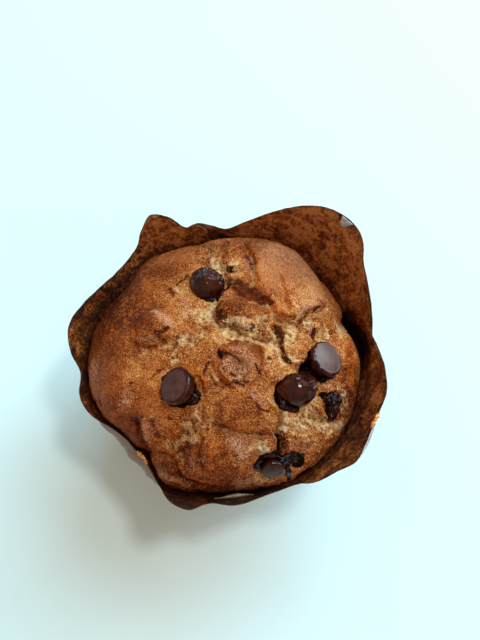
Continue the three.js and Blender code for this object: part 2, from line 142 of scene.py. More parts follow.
# Cracks and ledges: the route, the groove's half width and depth, how much higher the left side of
# the route stands, and the width of the pale crumb that the split shows.
CRACKS = [
    ([(1.5, 18.4), (3.5, 17.6), (5.5, 15.6), (8, 14.3), (10.9, 14.6), (13.2, 13.2), (15.4, 11.2),
      (18.3, 9.2), (21.2, 10.4), (24.1, 12.5), (27.2, 14.2), (31, 15.5)], 0.5, 0.5, 1.5, 1.0),
    ([(3.4, 37.5), (5.5, 34.4), (7.6, 31), (9, 27.2), (8.7, 23.7), (9.2, 20.3),
      (7.6, 17.6)], 0.6, 0.5, 1.1, 1.2),
    ([(-0.4, 16.6), (-1.4, 13.5), (-1.7, 11.4), (-1.6, 9), (-0.4, 7.5), (2.1, 7.1), (4.6, 6.1),
      (7.5, 4.7), (9.7, 3.8), (12.5, 3.6), (14.8, 5.0)], 0.45, 0.9, 1.7, 2.6),
    ([(-3.4, -19.2), (-0.6, -20.2), (2.4, -21.2), (5.5, -22.5), (8.8, -23.3), (11.9, -23.2),
      (14.2, -22.1), (15.6, -20.2)], 0.4, 0.7, 2.0, 1.4),
    ([(14.2, 8.4), (14.8, 6.6), (15.6, 4.9), (16.2, 2.9), (17, 0.1), (17.6, -1.9),
      (19.3, -3.8)], 0.45, 1.3, 0.4, 2.4),
    ([(21.1, 5.6), (21.3, 7.6), (22.3, 9.5), (23.5, 10.9)], 0.45, 0.9, 0, 0.8),
    ([(24.6, 7.2), (25.2, 4.7), (26, 3.3)], 0.35, 0.9, 0, 0),
    ([(15.4, -15.2), (15.6, -17.2), (16.1, -19.3), (15.3, -22), (15.9, -24.1), (16.8, -26.2),
      (15.7, -28)], 0.6, 2.3, 0, 2.4),
    ([(-7.9, -15.5), (-5.9, -17.7), (-5.7, -20.6), (-8.7, -22.5), (-11, -24.8), (-11.4, -27.9),
      (-12.3, -31)], 1.5, 1.6, 0, 3.4),
    ([(-17.5, 1.2), (-14.5, 1.4), (-12.2, 1.9), (-9.4, 2.4), (-6.6, 4.1), (-4.3, 6.1)], 1.2, 0.9, 0, 2.4),
    ([(-14.6, -3.4), (-13.3, -0.7), (-12.8, 1.3)], 0.7, 0.7, 0, 1.2),
    ([(-24.9, 7.4), (-24.8, 5.2), (-24, 3.2), (-21.6, 1.2), (-18.4, 1), (-16.8, 2.6)], 0.6, 0.8, -1.3, 0),
    ([(-25.3, -17.4), (-24.4, -19.6), (-23.2, -21.6), (-21.9, -23.6), (-20.8, -25.4),
      (-20.1, -26.6)], 0.8, 1.7, 1.1, 0),
    ([(-22.9, -17.4), (-21.8, -19.6), (-20.6, -22), (-19.4, -24)], 0.6, 1.3, 0.7, 0),
    ([(-19.4, -17.6), (-18, -20.4), (-16.8, -23), (-15.2, -25.4)], 0.8, 1.0, -0.6, 0),
    ([(-30.6, -18.0), (-28.9, -16.9), (-26.6, -16.9)], 0.4, 0.8, 0.9, 0),
    ([(-33.5, -16.2), (-32.1, -16), (-29.5, -15.8), (-27.1, -15.7), (-24.5, -14.8)], 0.6, 0.6, 0.9, 0),
    ([(-24.5, -25.2), (-22, -26.1), (-19.4, -27.3), (-16.5, -27.7), (-13.7, -28.4)], 0.9, 1.7, 1.0, 0),
    ([(-13.6, -29.2), (-12.6, -31.6), (-10.1, -33.9), (-6.6, -35.6), (-2.6, -36.6),
      (1.8, -36.9)], 0.8, 1.8, 1.6, 0),
    ([(-4.6, -23.4), (-6.2, -26), (-6.4, -29), (-4.6, -31.6)], 1.0, 1.1, 0.6, 0),
    ([(-6.4, 31), (-4.4, 30.4), (-2.9, 28.4), (-1.1, 26.9), (0, 23.4), (0.1, 20.1),
      (0.9, 17.6)], 1.1, 1.3, 0, 2.8),
    ([(-2.4, 29.5), (-1, 32.4), (2.6, 34.2), (5.5, 32.5), (6.4, 28.9)], 0.45, 0.8, -0.5, 0),
    ([(14.8, 22.9), (16.1, 19.4), (17.5, 16.3), (18.3, 13.5), (18.9, 10.9)], 0.4, 0.55, 0.5, 0),
    ([(34.4, 6.4), (35.3, 2), (36.6, -0.7), (36.2, -4.3), (37.3, -8)], 0.6, 0.8, 0.4, 0),
    ([(-3.4, -2.2), (-2.9, -3.5), (-2.6, -5.7), (-1.2, -8.2), (0.8, -10.4)], 0.5, 0.8, 0.6, 0),
    ([(-7.1, -6.5), (-5.6, -9.8), (-5.1, -13.1), (-4.8, -15.3)], 0.6, 0.7, 0.8, 0),
    ([(-4.8, -15.3), (-2.6, -14.8), (0.4, -14.8)], 0.35, 0.4, 0.5, 0),
    ([(8, -10.9), (10.8, -13), (13.6, -15.4), (15.2, -17.2)], 0.5, 0.6, -0.9, 0.8),
    ([(8.9, -32), (8.6, -28), (8.6, -24.1)], 0.45, 0.5, 0.9, 1.0),
    ([(-31, -29.5), (-24, -31), (-19, -33), (-13, -35.4), (-6, -36.8)], 0.6, 0.3, -0.8, 0),
]
RELIEF_GAIN = 1.3  # how much stronger the lumps, bumps, cracks and ring mark are than their rows say
# How cracks and bumps wander, and the clods of broken crust: how strong each layer is, and its size.
WARPS = [(0.8, 5.0), (0.4, 1.9), (0.25, 0.8)]
CLODS = [(1.0, 3.4), (0.6, 1.8), (0.35, 0.9)]
STEP_REACH = 8.0  # how far a ledge's height takes to fade out on its high side, and below it
STEP_FOOT = 2.6
STEP_BLUNT = 0.22  # half width of a ledge's steep face
CRACK_TAPER = 2.0  # a crack dies out over this length at each end
RELIEF_WITHIN = 0.9  # share of the crust's radius past which the relief fades out
RIM_DENT = 0.9  # how far the crust's rim is dented in

# Pale crumb lying open: centre x and y, radius along x and y, turn, strength.
CRUMB_ZONES = [
    (-2.0, 26.5, 2.2, 5.0, 10, 1.1), (3.6, 25.0, 2.6, 3.6, 10, 0.6), (6.5, 3.9, 8.5, 2.3, -14, 1.25),
    (11.5, 8.4, 3.6, 2.0, -15, 0.65), (18.9, 4.4, 2.3, 4.4, -10, 1.1), (23.6, 8.2, 1.9, 2.6, 20, 1.0),
    (20.4, -2.4, 3.0, 1.2, -10, 1.1), (29.0, 4.8, 3.4, 3.4, 20, 0.7), (33.0, 8.0, 2.8, 3.0, 0, 0.85),
    (26.0, -18.4, 6.4, 3.2, -18, 1.15), (21.0, -20.6, 4.0, 3.8, 0, 1.05), (24.6, -13.0, 2.0, 2.6, 30, 0.8),
    (34.6, -12.6, 1.6, 4.0, 0, 0.85), (17.6, -19.5, 2.0, 5.0, 0, 0.95), (9.8, -26.8, 3.8, 3.4, 0, 1.0),
    (-9.6, -22.6, 2.4, 6.0, 8, 0.6), (-6.6, -16.6, 2.2, 2.2, 0, 0.8), (-11.5, 2.4, 5.6, 2.0, 15, 0.9),
    (-5.6, 9.0, 3.4, 3.4, 40, 0.75), (-13.6, -3.2, 1.8, 1.6, 0, 0.75), (12.8, -35.0, 5.0, 1.4, 0, 0.7),
    (-13.0, 17.8, 1.9, 1.5, 0, 0.75), (13.6, 0.4, 1.8, 2.6, 0, 0.6), (22.6, -31.0, 2.0, 2.0, 0, 0.5),
    (-21.3, -0.6, 2.6, 2.0, 0, 0.6), (-10.0, 10.5, 4.0, 3.0, 0, 0.5), (12.6, -4.0, 2.4, 6.0, 5, 0.65),
    (-1.9, -8.1, 0.8, 2.8, 33, 0.6), (-4.0, -19.5, 2.6, 1.6, 0, 0.7), (-13.6, -26.2, 3.0, 2.2, 30, 0.8),
    (29.5, -7.8, 3.0, 1.4, 10, 0.7), (3.6, 6.4, 9.0, 3.0, -12, 0.9), (28.0, -20.0, 7.0, 2.6, -10, 0.9),
    (31.5, -19.6, 4.0, 2.0, 0, 0.9), (30.0, -8.6, 4.0, 2.0, -20, 0.6), (22.0, 10.4, 2.0, 1.6, 0, 0.8),
]
CRUMB_DROP = 0.25  # how much lower open crumb lies
CRUMB_SURROUNDINGS = 2.5  # how far past open crumb the crust is broken up
# The middle of the muffin, where the crust is broken up too: centre, radius along x and y, strength.
BROKEN_MIDDLE = (3, -8, 21, 20, 0.72)

# Darker or, where negative, paler baking: centre x and y, radius along x and y, amount.
BROWNING = [
    (7, -16, 8, 4.5, 0.18), (-1, -29, 9, 5.5, 0.24), (-3, -37, 16, 3.2, 0.46), (-22, -19, 8, 8, 0.14),
    (-20.2, 7.0, 5.4, 5.4, 0.3), (-36, 2, 7, 18, 0.18), (-31, 19, 8, 9, 0.32), (-25.5, 12, 6, 5, 0.2),
    (4.4, -4.8, 6, 6, 0.32), (6, 18.5, 4, 2.4, 0.25), (8.4, 15.8, 4.5, 1.6, 0.3), (18, 24, 8, 7, 0.04),
    (26, 17, 5, 5, -0.26), (12, 2.4, 4, 3, -0.15), (26.5, -24, 6, 4, -0.08), (36.6, -7, 3, 8, 0.42),
    (-28, -23, 7, 5, 0.2), (-17, -31, 7, 4, 0.16), (5, 30.5, 4.5, 4.5, 0.2), (4.6, 11.6, 5.5, 3.6, 0.3),
    (1.8, 4.0, 4, 2.5, -0.16), (-12.5, -10, 7, 7, 0.06), (-22, 26, 10, 7, 0.2), (-8, 34, 9, 4, 0.2),
    (-33, 12, 6, 12, 0.12), (10, 32, 6, 6, 0.12), (12, -1, 8, 8, -0.04), (-8, -2, 6, 5, 0.1),
    (35.5, 3, 2.5, 4, -0.2), (-25.5, -14, 6, 4, 0.16), (-13, 26, 8, 5, 0.08), (-10, -22, 3, 7, 0.42),
    (6.9, 2.8, 5, 2.4, -0.26), (37, 1.5, 2.4, 5, -0.2), (1.8, 4.9, 4, 2.4, -0.12), (-24, -20, 5, 5, -0.08),
    (15, -2, 5, 5, -0.07), (-17.6, 13.8, 4.5, 4.5, 0.12), (-24.8, 0.3, 4, 4, 0.1),
    (15.6, -5.1, 2.4, 3, 0.12), (19.4, 6.9, 2.4, 2.4, 0.14),
]
RIM_DARKENING = 0.12  # how much darker the crust is at the rim than in the middle

# Smooth, rosy stretches of thin skin, partly a painted sheen: centre x and y, radius along x and y, strength.
ROSY_SKIN_AND_SHEEN = [
    (18, 26, 13, 9, 1.0), (24, 15, 6, 4, 0.7), (-17.5, 8.5, 4, 3.4, 0.3), (-19.8, -19.4, 3.6, 3.6, 0.8),
    (6, -26, 3.4, 3.4, 0.7), (3.8, -4.6, 6.6, 6.2, 0.7), (-36, -7, 4, 10, 0.6), (-16, 31, 9, 4.5, 0.5),
    (4.9, 16.5, 3.6, 2.4, 0.5),
]

# Painted highlights, a pale pinkish sheen on ridges and rims: the route, its half width, its strength.
PAINTED_SHEENS = [
    ([(-18.2, 10.2), (-15.9, 8.6), (-14.2, 6.7)], 0.8, 1.0),
    ([(-22.6, 3.4), (-20.6, 2.4), (-18.2, 2.4)], 0.7, 0.6), ([(-22.4, -18.9), (-21.6, -21.4)], 0.5, 0.6),
    ([(-20.8, -18.4), (-19.5, -21.8)], 0.7, 0.7), ([(-18.4, -17.2), (-17.6, -19.0)], 0.7, 0.5),
    ([(2.6, -24.4), (4.8, -26.4), (5.2, -28.2)], 1.6, 0.8),
    ([(-38.4, -1), (-38.6, -6), (-37.2, -11)], 1.5, 0.55),
    ([(4.6, -36.0), (8.1, -35.0), (10.9, -34.2)], 1.3, 1.1),
    ([(-18.4, -32.6), (-14.6, -34.6), (-9.8, -36.9)], 0.8, 0.6),
    ([(1.4, -4.4), (2.8, -5.6), (4.2, -6.6)], 2.2, 0.6), ([(3.6, 0.2), (7.0, -0.6), (8.8, -3.6)], 1.5, 0.6),
    ([(-10.5, 13.5), (-12.5, 12.0)], 1.8, 0.5), ([(14, 31), (22, 27), (28, 21)], 3.0, 0.35),
    ([(22.0, 10.8), (23.6, 12.0)], 1.4, 0.8), ([(24, -25), (20, -27)], 2.4, 0.5),
    ([(7.6, -12.4), (10.6, -14.6)], 1.2, 0.5), ([(-26.6, -11.6), (-27, -14)], 1.6, 0.5),
    ([(-6, -29), (-8, -31)], 1.6, 0.4),
]

# Melted chocolate that soaked in: the route, its half width, its strength.
STAINS = [
    ([(-10.3, 22.7), (-11.7, 21.4), (-13.4, 19.6)], 0.5, 0.75), ([(-15, 17.8), (-14.4, 16.8)], 0.6, 0.75),
    ([(-0.8, 16.6), (0.4, 17.9), (1.5, 19.0)], 0.35, 1.0), ([(2.0, 24.6), (2.3, 23.8)], 0.95, 1.0),
    ([(1.8, 22.6), (2.1, 20.8)], 0.8, 0.45),
    ([(-1.2, 14.6), (-1.9, 12.6), (-1.8, 10.2), (-0.9, 8.6)], 0.4, 0.75),
    ([(-1.0, 10.0), (-0.8, 9.2), (0.6, 8.8)], 0.9, 0.9), ([(6.6, 6.9), (8.2, 6.6)], 0.7, 0.8),
    ([(15.4, 6.4), (16.4, 5.2)], 0.8, 0.9), ([(0.6, 7.3), (2.6, 6.8), (5, 5.8), (6.8, 5.2)], 0.3, 0.75),
    ([(3.5, 18.4), (5.5, 16.5), (8, 15.2), (10.9, 15.2), (13.2, 13.8)], 0.9, 0.66),
    ([(1.4, 20.6), (4.4, 19.4), (7.6, 16.8), (10.6, 15)], 1.2, 0.72),
    ([(6.7, 28.5), (7.8, 26.8), (8.4, 25)], 0.9, 0.6), ([(7.7, 25.9), (7.9, 23.8)], 0.5, 0.9),
    ([(14.8, 6.6), (15.6, 4.9)], 0.7, 0.9),
    ([(15.6, 4.6), (16.2, 2.6), (16.8, 0.4), (17.5, -1.6), (18.9, -3.6)], 0.45, 0.85),
    ([(7.2, 6.6), (8.0, 5.2)], 0.4, 0.7), ([(9.2, 5.4), (11.2, 4.8)], 0.35, 0.6),
    ([(24.0, 11.6), (24.6, 12.0)], 0.5, 0.8), ([(20.9, 7.2), (22.2, 9.6), (23.3, 10.8)], 0.4, 0.75),
    ([(24.9, 6.6), (25.4, 4.7), (26, 3.3)], 0.35, 1.0), ([(26.6, 15.3), (28.4, 15.0)], 0.5, 0.5),
    ([(26.2, 13.0), (26.9, 13.4)], 0.5, 0.8), ([(-1.0, -0.9), (-0.9, -1.7)], 0.6, 0.95),
    ([(-0.6, -0.8), (0.8, -0.8)], 0.45, 0.9), ([(2.0, -1.4), (3.4, -2.4), (4.5, -3.9)], 0.4, 0.85),
    ([(-0.9, -8.8), (1.0, -10.2), (2.8, -10.9)], 0.5, 0.7), ([(-3.5, -7.2), (-2.6, -9.0)], 0.3, 0.8),
    ([(9.2, -4.0), (9.8, -5.8)], 0.4, 0.9), ([(10.0, -6.6), (10.2, -7.0)], 0.4, 0.9),
    ([(0.0, -5.5), (0.4, -6.6)], 0.35, 0.85), ([(2.0, -7.1), (3.4, -7.7)], 0.35, 0.85),
    ([(2.8, -9.0), (3.8, -9.5), (5.3, -10.1)], 0.45, 1.0), ([(6.2, -9.4), (7.2, -9.0)], 0.35, 0.8),
    ([(-5.4, -7.0), (-4.8, -4.8), (-3.9, -3.5)], 0.4, 0.75),
    ([(-2.9, -9), (-1.5, -10.4), (0.2, -10.9)], 0.3, 0.7),
    ([(8.5, -14.7), (9.9, -16.3), (12.2, -17)], 0.3, 0.85),
    ([(-20.0, -7.4), (-18.6, -6.2), (-17.0, -5.4)], 0.45, 0.62), ([(-26, -8.7), (-25, -8.8)], 0.5, 0.62),
    ([(-17.5, 4.2), (-16.3, 4.8), (-15.0, 5.7)], 0.6, 1.0),
    # This stroke is partly the lump's own dark rim and partly painted shade under its lower edge.
    ([(-24.7, 2.9), (-22.7, 1.0), (-19.5, 0.7), (-17.2, 1.1), (-16.2, 2.3)], 0.5, 0.6),
    ([(-14.3, -17), (-15.5, -18.3), (-14.1, -18.9)], 0.3, 0.6),
    ([(-25.2, -18.4), (-24.0, -20.6), (-22.6, -23.2), (-21.2, -25.4)], 1.4, 0.72),
    ([(-22.6, -18.0), (-21.2, -20.6), (-20.0, -23)], 0.7, 0.68),
    ([(-19.2, -18.4), (-17.6, -21.6), (-16.4, -24)], 0.5, 0.6), ([(-36, -12), (-35.4, -13.4)], 0.6, 0.55),
    ([(-22.4, -26.4), (-19.4, -27.5), (-16.5, -27.9)], 0.8, 0.7),
    ([(15.6, -17.4), (16.1, -19.3), (15.3, -22)], 0.45, 0.7),
    ([(16.4, -24.4), (17, -26), (16, -28)], 0.9, 1.0),
    ([(34.9, 4.2), (35.4, 1.8), (36.6, -0.7), (36.2, -4.3)], 0.4, 0.3),
    ([(37.2, -9.8), (37.6, -11.4)], 0.6, 0.5), ([(11.6, -6.4), (11.9, -9.2)], 0.3, 0.45),
    ([(12.6, -2.3), (13.0, -2.6)], 0.5, 0.7),
    ([(-12.9, -31.0), (-10.1, -33.9), (-6.6, -35.6), (-2.6, -36.6)], 0.6, 0.66),
    ([(-5.4, -24.4), (-6.3, -27), (-5.6, -30.4)], 0.5, 0.55), ([(33.4, -16.8), (34.6, -16.6)], 0.5, 0.6),
    ([(-17.7, -28.2), (-14.4, -29)], 0.6, 0.5), ([(5.8, 32.4), (6.4, 29.4)], 0.5, 0.45),
    ([(26.6, -9.2), (29.4, -9.2)], 0.8, 0.3), ([(-35, -19), (-31, -24), (-27, -27.5)], 0.7, 0.5),
]

# Orange to red-brown edges and streaks that baked hardest: the route, its half width, its strength.
SCORCHES = [
    ([(3.5, 18.8), (5.5, 16.6), (8, 15), (10.9, 15.3), (13.2, 13.9), (15.4, 11.9), (18, 10.2)], 0.7, 1.0),
    ([(3.6, 37), (7.8, 31), (9.2, 27.2), (8.9, 23.7), (9.4, 20.3)], 0.7, 0.7),
    ([(-2.4, 29.5), (-1, 32.8), (2.6, 34.6), (5.5, 32.5), (6.6, 28.9)], 0.6, 1.0),
    ([(-1.8, 28.8), (1.2, 28.4), (4.1, 30.8)], 0.4, 0.9),
    ([(-1.6, 13.5), (-1.4, 10), (0.2, 7.8)], 0.8, 0.6),
    ([(2.1, 7.6), (4.6, 6.6), (7.5, 5.2), (9.7, 4.4)], 0.4, 0.7),
    ([(25.9, 10.4), (27.6, 9.4), (29, 6.9), (28.2, 4.4)], 0.8, 1.0),
    ([(21.1, 7.6), (22.3, 9.7), (23.7, 11.1)], 0.5, 0.8),
    ([(14.8, 22.9), (16.1, 19.4), (17.5, 16.3)], 0.4, 0.5),
    ([(-2.6, -3.6), (-0.4, -0.3), (1.9, 1.2), (4.6, 1.9), (7.7, 1.1), (9.6, -0.8), (10.4, -3.6),
      (9.9, -6.4)], 1.0, 0.9),
    ([(-3.0, -3.4), (-1.9, -6.2), (-0.8, -8.4), (1.3, -10.1), (3.4, -10.9)], 0.8, 1.0),
    ([(10.4, 1.0), (11.8, -2.0), (12.0, -6.0)], 0.8, 0.5),
    ([(-8.5, -5.9), (-6.6, -7.6), (-5.5, -9.4), (-5.2, -12)], 1.1, 0.9),
    ([(-10.5, 15.6), (-14.5, 12.5)], 1.4, 0.5),
    ([(-24.7, 6.4), (-24, 3.6), (-21.6, 1.5), (-18.4, 1.2)], 0.7, 0.9),
    ([(-16.4, 9.2), (-15.2, 7.2)], 0.7, 0.7),
    ([(-7.1, -6.5), (-5.4, -9.8), (-4.9, -13.1), (-4.4, -15.3)], 0.9, 0.7),
    ([(-8.6, 3.4), (-5.6, 0.6)], 1.2, 0.5),
    ([(-3, -18.8), (-0.6, -19.7), (2.4, -20.7), (5.5, -22), (8.8, -22.7), (11.9, -22.6),
      (14.6, -21.2)], 0.6, 0.9), ([(8, -10.4), (10.8, -12.5), (13.6, -14.9), (15.2, -16.8)], 0.5, 0.7),
    ([(-10, -6), (-13.6, -4.4)], 0.8, 0.6),
    ([(34.8, 4.9), (35.3, 2), (36.6, -0.7), (36.2, -4.3), (37.4, -9)], 0.9, 0.9),
    ([(2, -12), (9, -13.6)], 1.6, 0.5), ([(-32, 8), (-27, 14), (-20, 19)], 4.0, 0.35),
    ([(-14, -36), (0, -36), (10, -33)], 3.0, 0.35), ([(13.4, -24.6), (14.6, -25.4)], 0.9, 1.0),
    ([(25.8, -16.1), (27.6, -16.6), (29.3, -15.2)], 1.3, 1.0),
    ([(8.3, -24.3), (8.3, -27), (8.6, -30.4)], 0.6, 0.7),
    ([(-26, -18.4), (-24.4, -21), (-22.6, -23.6), (-21.4, -25.8)], 0.7, 1.0),
    ([(-32, -16), (-27.1, -15.5)], 0.7, 0.7),
    ([(-22, -25.5), (-19.4, -26.7), (-16.5, -27), (-13.7, -27.8)], 0.7, 0.8),
    ([(24.6, -22), (29.4, -23.4)], 1.6, 0.6),
    ([(-15.5, -29), (-10.3, -32.5), (-6, -34.4), (0.5, -35.2)], 0.7, 0.7),
    ([(-13, -21), (-13.8, -26)], 1.0, 0.6), ([(17, 7.6), (19.6, 8.4)], 0.8, 0.6),
    ([(30, 9.6), (31.4, 5), (31, 2)], 0.9, 0.6), ([(-3, -24), (-2, -31)], 2.0, 0.3),
    ([(-3.6, 22), (-3.2, 26)], 0.7, 0.3), ([(21, 3.4), (22.6, 0.6)], 0.8, 0.6),
    ([(-17.2, -17), (-20.6, -16.2)], 1.2, 0.5),
]

# Round the chips these beds are partly painted contact shade.
# Glossy melted chocolate that lines the crust under and round a chip: centre, radius along x and y, turn.
MELT_AND_SHADE_BEDS = [
    (-12.9, -10.9, 5.2, 5.2, 0), (-8.7, -13.9, 2.5, 1.6, 20), (20.1, -11.4, 4.9, 4.6, 0),
    (27.9, -3.4, 4.7, 4.8, 0), (23.6, -5.6, 1.9, 2.2, 0), (13.7, -31.3, 4.1, 3.3, 0),
    (20.0, -29.8, 3.6, 2.0, 6), (18.6, -32.6, 1.0, 2.0, 10), (10.0, -31.3, 1.6, 1.2, 20),
    (31.4, -13.2, 1.9, 2.8, 0), (30.2, -17.2, 1.3, 1.3, 20), (28.4, -12.0, 1.2, 0.7, 20),
    (-4.6, 19.6, 4.5, 4.9, 0), (16.4, -12.8, 1.5, 3.2, 0), (19.2, -16.0, 3.0, 1.2, 0),
]
# The same along seams: the route, its half width, its strength.
MELTED_SEAMS = [
    ([(-1.6, 15.8), (0.3, 18), (1.4, 19)], 0.4, 1.0), ([(-1.2, -0.9), (-0.9, -1.9)], 0.5, 0.9),
    ([(2.0, 24.6), (2.2, 24)], 0.6, 0.9), ([(15.9, -24.2), (16.4, -26), (15.9, -27.8)], 0.6, 1.0),
]

# A shallow dish over a buried chip, deepest towards one azimuth, and a raised disc in it.
RING_MARK = dict(at=(4.9, -3.7), radius=6.2, depth=1.7, strongest=50.0, disc_at=(2.8, -5.5), disc_radius=4.1,
                 disc_height=0.9, gap=1.4, gap_azimuth=115.0)

# Hollows, most of them round a chip: centre x and y, radius, depth.
DIPS = [
    (-4.8, 19.7, 5.9, 0.9), (-13.8, -10.5, 6.2, 1.2), (29.7, -1.6, 6.0, 1.2), (20.8, -11.2, 6.4, 1.2),
    (14, -31.9, 4.8, 1.0), (31, -14.6, 3.6, 1.4), (24.4, -5.4, 2.8, 2.8), (21.4, -30.4, 2.6, 1.4),
    (-16.2, 4.9, 1.0, 1.1), (2.1, 24.2, 1.1, 0.8), (15.0, -12.0, 3.0, 2.0), (-8.2, -12.8, 2.6, 1.4),
    (16.6, -26.4, 1.3, 1.6), (-0.2, -1.4, 1.2, 0.7), (-0.7, 9.3, 1.5, 1.2),
]

# Round holes: centre x and y, radius.
HOLES = [
    (-4.5, -22.3, 0.6), (-7.9, -23.0, 0.6), (-10.4, -23.8, 0.5), (-10.2, -26.6, 0.8), (-11.6, -28.2, 0.8),
    (-13.3, 1.9, 0.55), (-14.2, 0.8, 0.5), (-9.9, 2.7, 0.6), (-14.4, -2.3, 0.5), (-12.0, 3.3, 0.35),
    (-14.4, -26.8, 0.7), (-12.6, -24.6, 0.5), (-8.6, 7.5, 0.4), (1.2, 31.6, 0.45), (-7.2, -21.6, 0.4),
    (-6.0, 22.6, 0.35), (30.6, 6.2, 0.45), (-20.4, 0.2, 0.4), (-7.0, 4.6, 0.4), (28.0, -8.6, 0.4),
    (30.4, 2.6, 0.5),
]
PORES = 380
PORE_RADIUS = (0.18, 0.42)
PORE_DEPTH = 0.9
PORES_WITHIN = 38.0  # distance from the axis that pores keep to
PLAIN_TOAST = 0.42  # how brown the muffin's side and the crumbs on the paper are
CRUST_RINGS = 170
CRUST_SIDE_ROWS = 7
MAP_HALF = 46.0  # the map that finds the surroundings of each point: half its size, its cells and its reach
MAP_STEP = 0.4
MAP_REACH = 1.2

# ---- Chocolate ----
CHIP_RADIUS = 5.4
CHIP_HEIGHT = 6.2
# The way a chip's flat foot faces, its size, and how deep its skin is wrinkled and on which side. Where
# given, also how far its tip has slid along +X, flats that were pressed into it, as the way each faces
# and its distance from the chip's middle, how far the chip is shifted from the solid's place, and how
# strong the bloom on its foot is.
CHIPS = {
    "chip_back": dict(facing=(-0.12, -0.3, -1), size=0.9, wrinkle=0.7, wrinkled_side=(0.25, 1.0),
                      flats=[((0.35, 0.45, 0.8), 3.1)]),
    "chip_left": dict(facing=(-0.61, 0.17, 0.77), size=1.0, wrinkle=0.1, wrinkled_side=(1.0, -1.0)),
    "chip_right": dict(facing=(0.59, 0.21, 0.78), size=0.97, wrinkle=0.5, wrinkled_side=(-1.0, -0.6)),
    "chip_middle": dict(facing=(-0.3, -0.35, -1), size=1.12, wrinkle=0.8, wrinkled_side=(0.6, 1.0), slide=1.2,
                        flats=[((0.2, 0.82, 0.5), 2.3), ((-0.7, 0.5, 0.5), 3.2)], shift=(0.1, 1.1, 0.0)),
    "chip_front": dict(facing=(0.05, -0.8, 0.58), size=0.62, wrinkle=0.2, wrinkled_side=(1.0, 0.0),
                       shift=(-0.1, -1.3, -0.4), bloom=0.3),
}
BROKEN_CHIP = dict(name="chip_broken", height=2.6, roughness=0.22)
# Its ragged outline from above: azimuth and radius.
BROKEN_OUTLINE = [
    (15, 2.4), (52, 2.9), (82, 3.5), (114, 3.1), (145, 3.9), (163, 2.7), (186, 1.2), (224, 2.7), (252, 4.3),
    (297, 2.9), (345, 2.3),
]

# Pools of melted chocolate: centre x and y, radius along x and y, turn, height.
MELTS = [
    (-8.6, -13.9, 2.4, 1.4, 30, 1.1), (-7.4, -12.6, 1.0, 0.8, 60, 0.6), (18.8, -16.0, 2.8, 1.0, -6, 0.8),
    (16.6, -12.6, 1.5, 3.0, 8, 1.2), (19.7, -29.7, 3.6, 1.9, 4, 1.0), (-0.6, 16.8, 1.7, 0.45, 45, 0.5),
    (1.3, 18.7, 0.7, 0.5, 30, 0.6), (18.6, -33.0, 0.6, 1.2, 0, 0.5), (14.5, -29.8, 3.5, 1.2, -6, 1.0),
    (10.2, -31.2, 1.5, 1.1, 20, 0.7), (-8.2, -11.4, 0.7, 1.3, 20, 0.5),
]

# Flaps of the sheet that show its outside. Each runs between two azimuths.
FLAP_THICKNESS = 0.15
DOG_EAR = dict(azimuths=(43.7, 48.2), tip_azimuth=46.6, reach=0.12, narrowing=0.95, lift=0.25, bulge=0.9)
TUCK = dict(azimuths=(266.0, 282.5), up=1.3, height=56.8, width=0.72, bulge=0.5, gap=0.1)
LIP = dict(azimuths=(321.0, 338.0), width=0.7, drop=0.8, lift=0.2)

# Painted shade on petals all the way up, paler where the amount is negative: azimuth, half width, amount.
PETAL_SHADE = [
    (158, 18, 0.5), (206, 24, 0.62), (250, 30, 0.8), (285, 22, 0.65), (330, 18, 0.28), (5, 12, 0.1),
    (70, 25, -0.15),
]

# Painted shade on the sheet tucked into the first fold, up to this far from the shoulder to the free edge.
FOLD_SHADE = dict(azimuth=11.0, half_width=9.0, up=1.3)

# Torn places of the free edge, where the paper's pale inside shows: azimuth, half width, depth in mm.
TEARS = [(97.0, 1.6, 4.0), (116.5, 1.0, 1.2), (184.0, 0.5, 0.6), (100.0, 3.0, 0.5), (120.0, 1.0, 0.6)]

# Crumbs that lie on the paper's edge: azimuth, radius, height, size.
EDGE_CRUMBS = [
    (226.4, 36.5, 57.6, 0.7), (227.8, 36.5, 57.6, 1.1), (229.3, 36.6, 57.5, 1.3), (230.4, 36.7, 57.4, 0.9),
    (231.7, 37.0, 57.3, 1.0), (232.8, 37.3, 57.2, 0.6), (333.8, 46.7, 70.1, 0.8), (334.9, 46.8, 70.3, 1.3),
    (336.2, 46.9, 70.5, 1.1), (337.4, 46.9, 70.8, 1.3), (338.6, 47.0, 71.1, 0.7),
]


# ---- Number helpers ----
def smoothstep(low, high, value):
    part = np.clip((value - low) / (high - low), 0, 1)
    return part * part * (3 - 2 * part)


def closed_curve(knots, values, period):
    """A smooth closed curve through rows of values at rising knots. It is read at any places."""
    knots = np.asarray(knots, float)
    values = np.asarray(values, float).reshape(len(knots), -1)
    knots = np.concatenate([knots[-2:] - period, knots, knots[:2] + period])
    values = np.concatenate([values[-2:], values, values[:2]])
    slopes = (values[2:] - values[:-2]) / (knots[2:] - knots[:-2])[:, None]
    knots = knots[1:-1]
    values = values[1:-1]

    def read(places):
        places = np.mod(places, period)
        index = np.searchsorted(knots, places, side="right") - 1
        span = (knots[index + 1] - knots[index])[..., None]
        t = ((places - knots[index])[..., None]) / span
        rising = t * t * (3 - 2 * t)
        start = values[index] * (1 - rising) + slopes[index] * span * t * (1 - t) ** 2
        return start + values[index + 1] * rising - slopes[index + 1] * span * t * t * (1 - t)

    return read


def lattice(cells, seed):
    """A repeatable random number from 0 to 1 for each whole-numbered cell."""
    mixed = cells[..., 0] * 73856093 ^ cells[..., 1] * 19349663 ^ cells[..., 2] * 83492791 ^ seed * 2654435761
    mixed &= 0xFFFFFFFF
    mixed = (mixed ^ (mixed >> 13)) * 1274126177 & 0xFFFFFFFF
    return (mixed ^ (mixed >> 16)) / 0xFFFFFFFF


